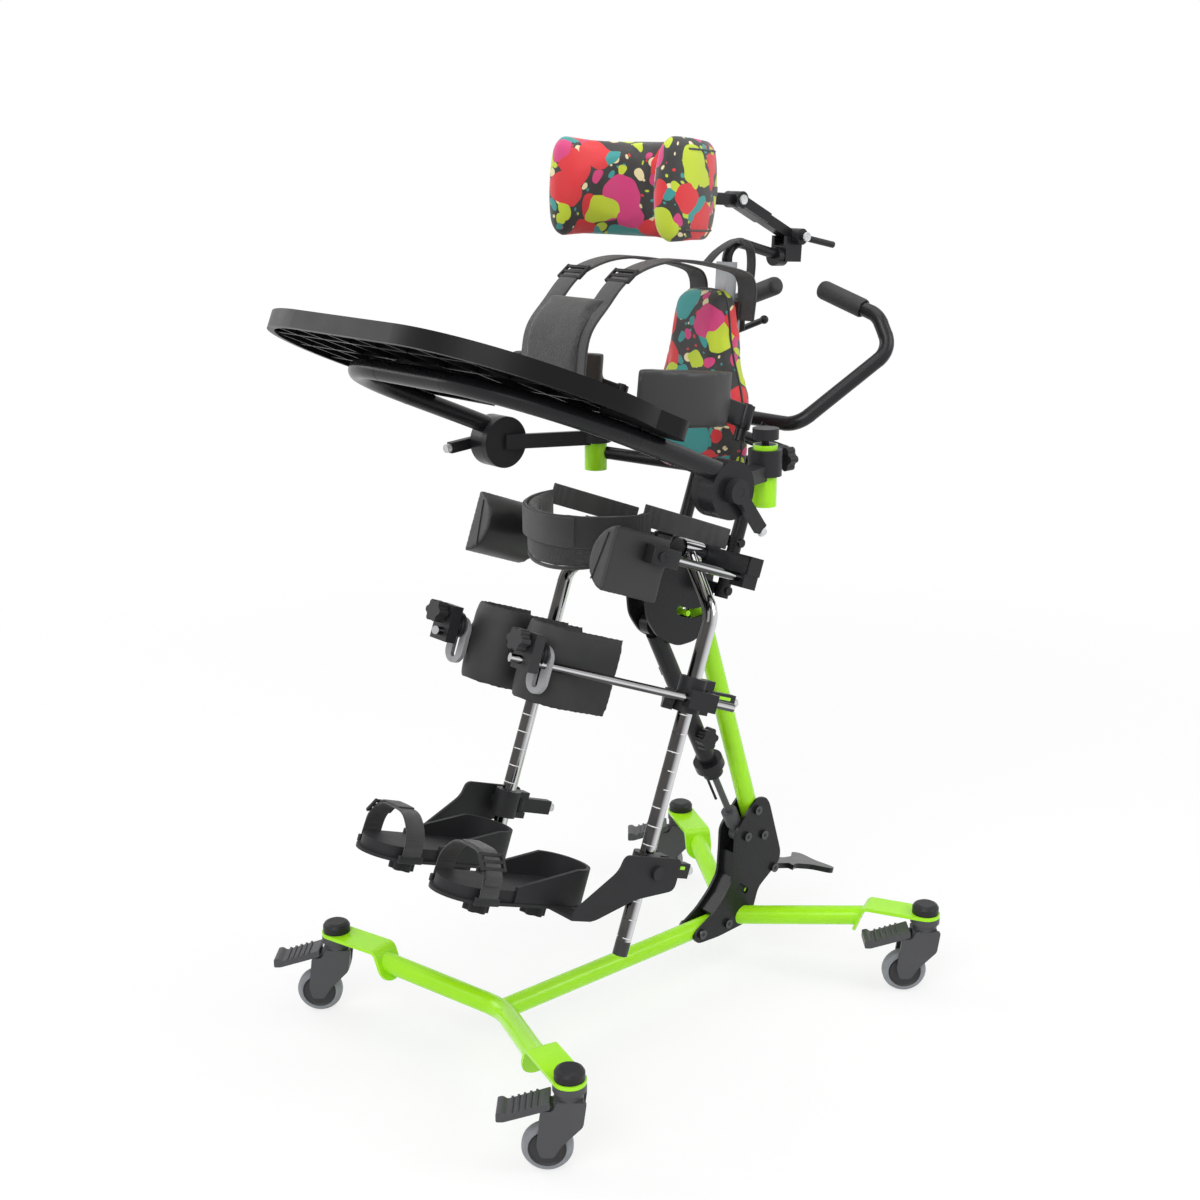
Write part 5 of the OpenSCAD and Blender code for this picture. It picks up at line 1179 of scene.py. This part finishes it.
class STAND_OT_painted_socket_shades(Step, Operator):
    """Set a dark hexagon in the end of each bolt, painted shade for its socket hollow"""
    bl_idname = "stand.bolt_sockets"
    bl_label = "Bolt sockets"

    def build(self, kit, sizes):
        sunk = 0.3 * MM
        edited(from_solid("pins_and_bolts", "bolt_copy"), "separate", type="LOOSE")
        ends = []
        for bolt in bpy.context.selected_objects:
            low, high = Vector(bolt.bound_box[0]), Vector(bolt.bound_box[6])
            middle = (low + high) / 2
            ends.append((Vector((high.x - sunk, middle.y, middle.z)), 90))
            ends.append((Vector((low.x + sunk, middle.y, middle.z)), -90))
        bpy.ops.object.delete()
        # Painted shade: a flat dark hexagon on each bolt end stands for the shaded socket
        # hollow.
        sockets = [stud("bolt_socket", 3.2, 1.0, Matrix.Translation(at) @ turn(way, "Y"), 0.2,
                        sides=6) for at, way in ends]
        dress(joined("bolt_sockets", sockets), kit["moulded"], "base")


WINDOW_BACK = 102.5
WINDOW_RISE = 62.3
WINDOW_SLOPE = -38.6


class STAND_OT_plate_insert(Step, Operator):
    """Close the side plates' window with a dark insert and its mark"""
    bl_idname = "stand.plate_insert"
    bl_label = "Plate insert"

    def build(self, kit, sizes):
        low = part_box("side_plates")[0]
        window = shift(MIDDLE_MM, low[1] / MM + WINDOW_BACK, low[2] / MM + WINDOW_RISE)
        window = window @ turn(WINDOW_SLOPE, "X")
        insert = block("plate_insert", (28.2, 30, 16), window, 1.5)
        mark = block("plate_mark", (29.4, 3.2, 6), window @ shift(0, 9, 0), 0.6)
        dress(insert, kit["moulded"], "base")
        dress(mark, kit["lime"], "base")


class STAND_PT_panel(Panel):
    """Sidebar list of the dressing steps"""
    bl_idname = "STAND_PT_panel"
    bl_label = "Standing frame"
    bl_space_type = "VIEW_3D"
    bl_region_type = "UI"
    bl_category = "Stand"

    def draw(self, context):
        layout = self.layout
        for step in STEPS:
            layout.operator(step.bl_idname)
        for group in (context.scene.stand_colours, context.scene.stand_sizes,
                      context.scene.stand_stage):
            box = layout.box()
            for key in group.__annotations__:
                box.prop(group, key)


STEPS = (
    STAND_OT_stage,
    STAND_OT_frame_finishes,
    STAND_OT_back_cushion,
    STAND_OT_head_support,
    STAND_OT_harness,
    STAND_OT_hip_belt,
    STAND_OT_knee_cuffs,
    STAND_OT_hip_pads,
    STAND_OT_chest_pads,
    STAND_OT_grips,
    STAND_OT_toe_straps,
    STAND_OT_lever_buttons,
    STAND_OT_painted_socket_shades,
    STAND_OT_plate_insert,
)
CLASSES = (StandColours, StandSizes, StandStage, *STEPS, STAND_PT_panel)


def register():
    """Registers the classes and hangs their settings on the scene."""
    for item in CLASSES:
        bpy.utils.register_class(item)
    bpy.types.Scene.stand_colours = PointerProperty(type=StandColours)
    bpy.types.Scene.stand_sizes = PointerProperty(type=StandSizes)
    bpy.types.Scene.stand_stage = PointerProperty(type=StandStage)


def unregister():
    """Takes the settings and classes away again."""
    del bpy.types.Scene.stand_stage
    del bpy.types.Scene.stand_sizes
    del bpy.types.Scene.stand_colours
    for item in reversed(CLASSES):
        bpy.utils.unregister_class(item)


def main():
    """Dresses the frame step by step."""
    register()
    for step in STEPS:
        area, action = step.bl_idname.split(".")
        getattr(getattr(bpy.ops, area), action)()


if __name__ == "__main__":
    main()
